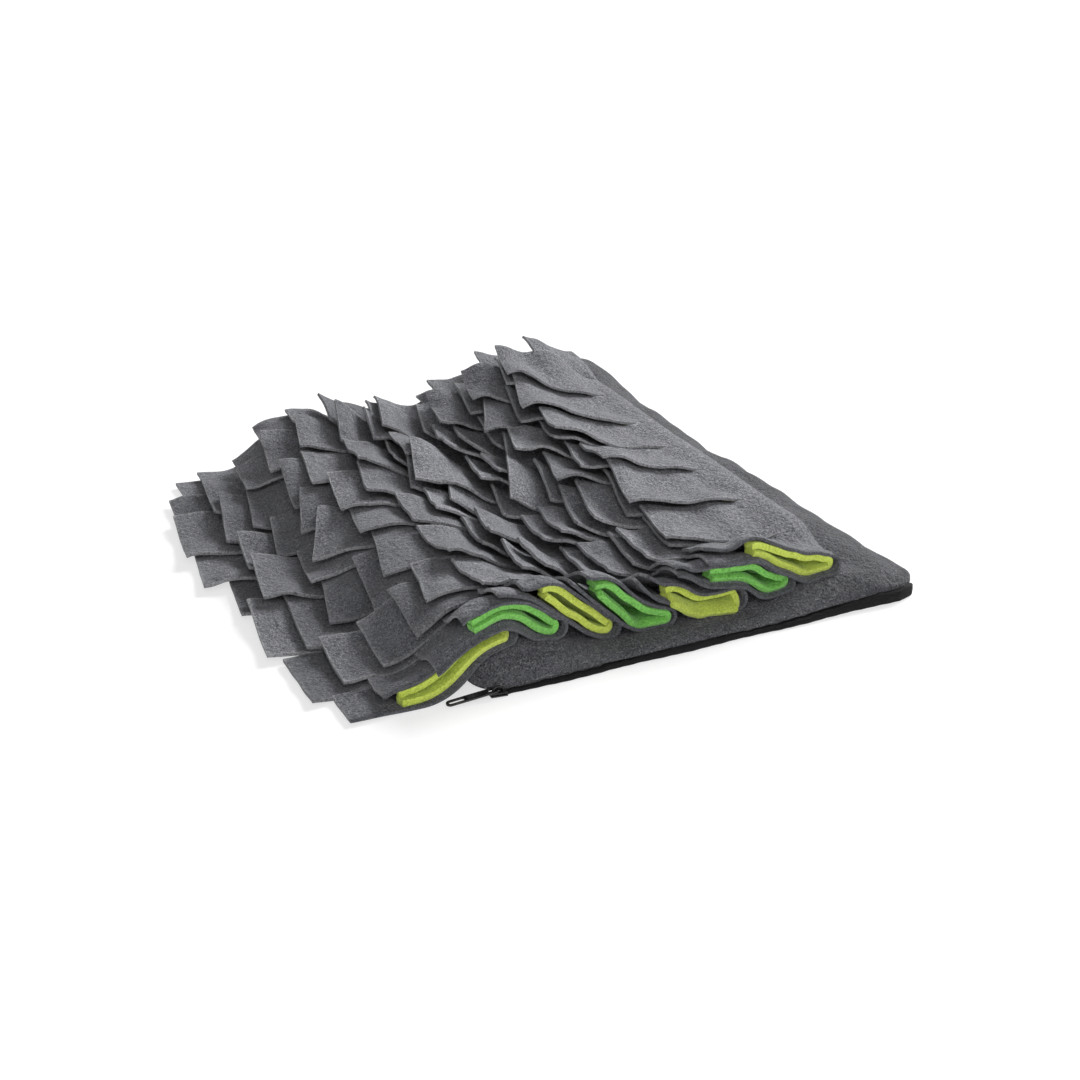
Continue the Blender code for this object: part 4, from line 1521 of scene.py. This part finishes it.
@dataclass
class Zip:
    """The zip: its tape and coil round the pouch's front edge, and its slider and puller at the left end."""

    PROFILE = ((-0.5, 0.08), (-0.56, 0.5), (-0.5, 0.9), (-0.3, 1.0), (1.3, 0.96), (1.3, 0.08))
    FRONT_STEPS = 150
    CORNER_STEPS = 12
    END_STEPS = 5.0
    LEAST_HEIGHT = 0.6
    SWAY = 0.5
    SWAY_TURN = 0.09
    WAVE = 0.22
    WAVE_TURNS = (0.83, 0.29)
    WAVE_HEIGHT = 1.4
    WIRE = 0.62
    TAIL_WIDTH = 0.62
    SHARP = math.radians(40.0)
    RIB = (9.0, 0.45, 0.5)
    RIB_X = -1.4
    RIB_ROWS = (-1.1, 0.0, 1.1)

    width: float = 3.6
    offset: float = 1.3
    height: float = 2.1
    gape: float = 1.6
    gape_x: float = 20.0
    gape_run: float = 45.0
    left: float = -125.5
    turn: float = math.radians(62.0)
    slider: tuple[float, float, float] = (9.0, 6.0, 2.4)
    slider_gap: float = 0.6
    slider_z: float = 0.2
    arch: float = 3.0
    pull: tuple[float, float, float] = (29.0, 5.2, 1.1)
    eye: tuple[float, float] = (4.6, 2.9)
    eye_margin: float = 1.3
    hole: tuple[float, float] = (8.6, 2.6)
    hole_margin: float = 1.4
    pull_turn: float = math.radians(177.0)
    pull_tilt: float = math.radians(5.5)

    def line(self, pouch: Pouch) -> list[tuple[Vector, Vector]]:
        """Gives the zip's centre line.

        Args:
            pouch: The pouch that it closes.

        Returns:
            Each point with the direction towards the pouch.
        """
        centre = Vector((pouch.half_width - pouch.corner, pouch.corner - pouch.half_depth, 0.0))
        y = -pouch.half_depth - self.offset
        found = []
        for n in range(self.FRONT_STEPS + 1):
            x = self.left + (centre.x - self.left) * n / self.FRONT_STEPS
            sway = self.SWAY * math.sin(x * self.SWAY_TURN)
            found.append((Vector((x, y + sway, 0.0)), Vector((0.0, 1.0, 0.0))))
        radius = pouch.corner + self.offset
        for n in range(1, self.CORNER_STEPS + 1):
            angle = self.turn * n / self.CORNER_STEPS
            inward = Vector((-math.sin(angle), math.cos(angle), 0.0))
            found.append((centre - inward * radius, inward))
        return found

    def build(self, pouch: Pouch, tape: bpy.types.Material, enamel: bpy.types.Material) -> None:
        """Makes the zip's pieces.

        Args:
            pouch: The pouch that it closes.
            tape: The tape's finish.
            enamel: The slider's and puller's finish.
        """
        self._build_tape(pouch, tape)
        self._build_slider(pouch, enamel)
        self._build_pull(pouch, enamel)

    def _build_tape(self, pouch: Pouch, material: bpy.types.Material) -> None:
        """Makes the tape as a band under the pouch's lip, which gapes in the middle and at the corner.

        Args:
            pouch: The pouch that it closes.
            material: Its finish.
        """
        bm = bmesh.new()
        line = self.line(pouch)
        rings = []
        for index, (point, inward) in enumerate(line):
            gape = math.exp(-(((point.x + self.gape_x) / self.gape_run) ** 2))
            lip = float(pouch.lip(np.array(point.x), np.array(point.y))) - pouch.edge_z
            quick, slow = self.WAVE_TURNS
            wave = self.WAVE * math.sin(index * quick) * math.sin(index * slow + 1.0)
            fade = smooth((len(line) - 1 - index) / self.END_STEPS)
            full = self.height + self.gape * gape + lip + self.WAVE_HEIGHT * wave
            tall = self.LEAST_HEIGHT + (full - self.LEAST_HEIGHT) * fade
            ring = bmesh.ops.create_circle(bm, segments=len(self.PROFILE), radius=1.0)["verts"]
            for vert, (across, level) in zip(ring, self.PROFILE):
                tucked = (wave + self.width * (1.0 - fade)) if across < 0.0 else 0.0
                at = point + inward * (across * self.width + tucked)
                vert.co = (at.x, at.y, level * tall)
            rings.append(edges_of(ring))
        for first, second in zip(rings, rings[1:]):
            bmesh.ops.bridge_loops(bm, edges=first + second)
        for ring in (rings[0], rings[-1]):
            bmesh.ops.contextual_create(bm, geom=ring)
        bmesh.ops.recalc_face_normals(bm, faces=bm.faces[:])
        obj = object_of("zip_band", bm)
        dress(obj, material, ["zip_tape"])

    def _slider_centre(self, pouch: Pouch) -> Vector:
        """Gives the middle of the slider's underside."""
        return Vector((self.left - self.slider_gap - self.slider[0] / 2, -pouch.half_depth - self.offset,
                       self.slider_z))

    def _build_slider(self, pouch: Pouch, material: bpy.types.Material) -> None:
        """Makes the slider: two shields, a neck between them and the arch for the puller.

        Args:
            pouch: The pouch that it closes.
            material: Its finish.
        """
        length, width, height = self.slider
        centre = self._slider_centre(pouch)
        bm = bmesh.new()
        plates = ((0.5, 0.8, 1.0, 1.0), (height - 0.5, 0.8, 1.0, 0.9), (height / 2, height - 1.2, 0.55, 0.45))
        for level, thick, long_share, wide_share in plates:
            made = bmesh.ops.create_cube(bm, size=1.0)["verts"]
            bmesh.ops.scale(bm, vec=(length * long_share, width * wide_share, thick), verts=made)
            for vert in made:
                if vert.co.x < 0.0:
                    vert.co.y *= self.TAIL_WIDTH
            bmesh.ops.translate(bm, vec=centre + Vector((0.0, 0.0, level)), verts=made)
        bmesh.ops.bevel(bm, geom=bm.edges[:], offset=0.22, segments=2, profile=0.5, affect="EDGES",
                        material=-1)
        arch = bmesh.ops.create_circle(bm, segments=10, radius=self.WIRE)["verts"]
        for axis in "XZY":
            bmesh.ops.rotate(bm, verts=arch, matrix=Matrix.Rotation(math.pi / 2, 3, axis))
        hinge = centre + Vector((0.0, 0.0, height - 0.3))
        bmesh.ops.translate(bm, vec=hinge + Vector((self.arch, 0.0, 0.0)), verts=arch)
        bmesh.ops.spin(bm, geom=edges_of(arch), cent=hinge, axis=(0.0, 1.0, 0.0), dvec=(0.0, 0.0, 0.0),
                       angle=-math.pi, steps=14)
        bmesh.ops.recalc_face_normals(bm, faces=bm.faces[:])
        obj = object_of("zip_runner", bm)
        obj.data.set_sharp_from_angle(angle=self.SHARP)
        dress(obj, material, ["zip_slider"])

    def _build_pull(self, pouch: Pouch, material: bpy.types.Material) -> None:
        """Makes the puller: a plate with a long hole, a small eye and raised ribs along its middle.

        Args:
            pouch: The pouch that it closes.
            material: Its finish.
        """
        length, width, thick = self.pull
        bm = bmesh.new()
        edges = []
        shapes = ((length, width, 0.0), (*self.eye, self.eye_margin + self.eye[0] / 2 - length / 2),
                  (*self.hole, length / 2 - self.hole_margin - self.hole[0] / 2))
        for long, wide, at in shapes:
            ring = bmesh.ops.create_circle(bm, segments=28, radius=wide / 2)["verts"]
            for vert in ring:
                vert.co.x += math.copysign((long - wide) / 2, vert.co.x) if abs(vert.co.x) > 1e-5 else 0.0
            bmesh.ops.translate(bm, vec=(at, 0.0, 0.0), verts=ring)
            edges += edges_of(ring)
        bmesh.ops.triangle_fill(bm, use_beauty=True, edges=edges)
        made = bmesh.ops.extrude_face_region(bm, geom=bm.faces[:], use_keep_orig=True)
        raised = [item for item in made["geom"] if isinstance(item, bmesh.types.BMVert)]
        bmesh.ops.translate(bm, vec=(0.0, 0.0, thick), verts=raised)
        for offset in self.RIB_ROWS:
            rib = bmesh.ops.create_cube(bm, size=1.0)["verts"]
            bmesh.ops.scale(bm, vec=self.RIB, verts=rib)
            bmesh.ops.translate(bm, vec=(self.RIB_X, offset, thick), verts=rib)
        bmesh.ops.recalc_face_normals(bm, faces=bm.faces[:])
        reach = length / 2 - self.eye_margin - self.eye[0] / 2
        turn = Matrix.Rotation(self.pull_turn, 4, "Z") @ Matrix.Rotation(self.pull_tilt, 4, "Y")
        place = self._slider_centre(pouch) + Vector((
            reach * math.cos(self.pull_turn) - self.arch,
            reach * math.sin(self.pull_turn),
            self.slider[2] + 0.4 - reach * math.sin(self.pull_tilt),
        ))
        bmesh.ops.transform(bm, matrix=Matrix.Translation(place) @ turn, verts=bm.verts)
        obj = object_of("zip_puller", bm)
        rounded = obj.modifiers.new("rounding", "BEVEL")
        rounded.width = 0.2 * MM
        rounded.segments = 2
        rounded.angle_limit = self.SHARP
        dress(obj, material, ["zip_pull"])


@dataclass(frozen=True)
class Studio:
    """The camera, the pale floor and the soft light."""

    target: tuple[float, float, float] = (-0.025, -0.015, 0.0)
    azimuth: float = -26.0
    elevation: float = 24.0
    distance: float = 1.0
    lens: float = 53.2
    sensor: float = 36.0
    sky: float = 0.22
    key: float = 5.8
    key_from: tuple[float, float, float] = (0.90, 0.45, 0.58)
    fill: float = 1.5
    fill_from: tuple[float, float, float] = (-0.25, -0.9, 0.5)
    floor: float = 12.0
    floor_colour: Colour = (0.42, 0.42, 0.42, 1.0)
    glow: float = 0.62

    def place_camera(self) -> None:
        """Makes the camera and looks at the mat."""
        data = bpy.data.cameras.new("camera")
        data.lens = self.lens
        data.sensor_width = self.sensor
        data.clip_start, data.clip_end = 0.01, 50.0
        camera = bpy.data.objects.new("camera", data)
        turn, rise = math.radians(self.azimuth), math.radians(self.elevation)
        back = Vector((math.sin(turn) * math.cos(rise), -math.cos(turn) * math.cos(rise), math.sin(rise)))
        camera.location = Vector(self.target) + back * self.distance
        camera.rotation_euler = (-back).to_track_quat("-Z", "Y").to_euler()
        bpy.context.scene.collection.objects.link(camera)
        bpy.context.scene.camera = camera

    def light(self) -> None:
        """Lights the mat softly from all round, more from the far right, and a little from the front."""
        world = bpy.data.worlds.new("studio")
        world.use_nodes = True
        sky = world.node_tree.nodes["Background"]
        Graph(world.node_tree).fill(sky, {"Color": WHITE, "Strength": self.sky})
        bpy.context.scene.world = world
        for name, energy, origin, spread in (("key", self.key, self.key_from, 30.0),
                                             ("fill", self.fill, self.fill_from, 70.0)):
            data = bpy.data.lights.new(name, "SUN")
            data.energy = energy
            data.angle = math.radians(spread)
            lamp = bpy.data.objects.new(name, data)
            lamp.rotation_euler = Vector(origin).to_track_quat("Z", "Y").to_euler()
            bpy.context.scene.collection.objects.link(lamp)
        bpy.context.scene.view_settings.view_transform = "Standard"

    def lay_floor(self) -> None:
        """Makes the floor."""
        bm = bmesh.new()
        bmesh.ops.create_grid(bm, x_segments=4, y_segments=4, size=self.floor / MM)
        floor = object_of("floor", bm)
        paint = bpy.data.materials.new("pale_floor")
        paint.use_nodes = True
        Graph(paint.node_tree).fill(paint.node_tree.nodes["Principled BSDF"], {
            "Base Color": self.floor_colour, "Emission Color": WHITE, "Emission Strength": self.glow,
            "Roughness": 0.9, "Specular IOR Level": 0.1})
        floor.data.materials.append(paint)
        floor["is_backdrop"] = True


def plain(box: tuple[Vector, Vector]) -> list[list[float]]:
    """Turns a box into plain lists of numbers."""
    return [[float(value) for value in corner] for corner in box]


def main(cad_box: list[list[float]]) -> None:
    """Builds the mat in order.

    Args:
        cad_box: The solids' own box; not used.
    """
    logging.basicConfig(level=logging.INFO, format="%(name)s: %(message)s")
    studio = Studio()
    studio.place_camera()
    effects = Effects()
    felt = GREY_FELT.build(effects)
    pouch_felt = POUCH_FELT.build(effects)
    fleeces = {Slot.LIME: LIME_FLEECE.build(effects), Slot.GREEN: GREEN_FLEECE.build(effects)}
    tape = TapeFinish().build(effects)
    enamel = EnamelFinish().build(effects)
    pouch = Pouch()
    pouch.build(pouch_felt)
    Zip().build(pouch, tape, enamel)
    terrain = Terrain(LIMITS.low, LIMITS.high, LIMITS.floor)
    pouch.fill_terrain(terrain)
    dice = np.random.default_rng(SEED)
    for number, row in enumerate(ROWS, start=1):
        strip = Strip(number, row)
        strip.lay(terrain, dice)
        strip.build(felt, fleeces[row.slot])
    studio.light()
    studio.lay_floor()


if __name__ == "__main__":
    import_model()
    main(plain(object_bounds()))
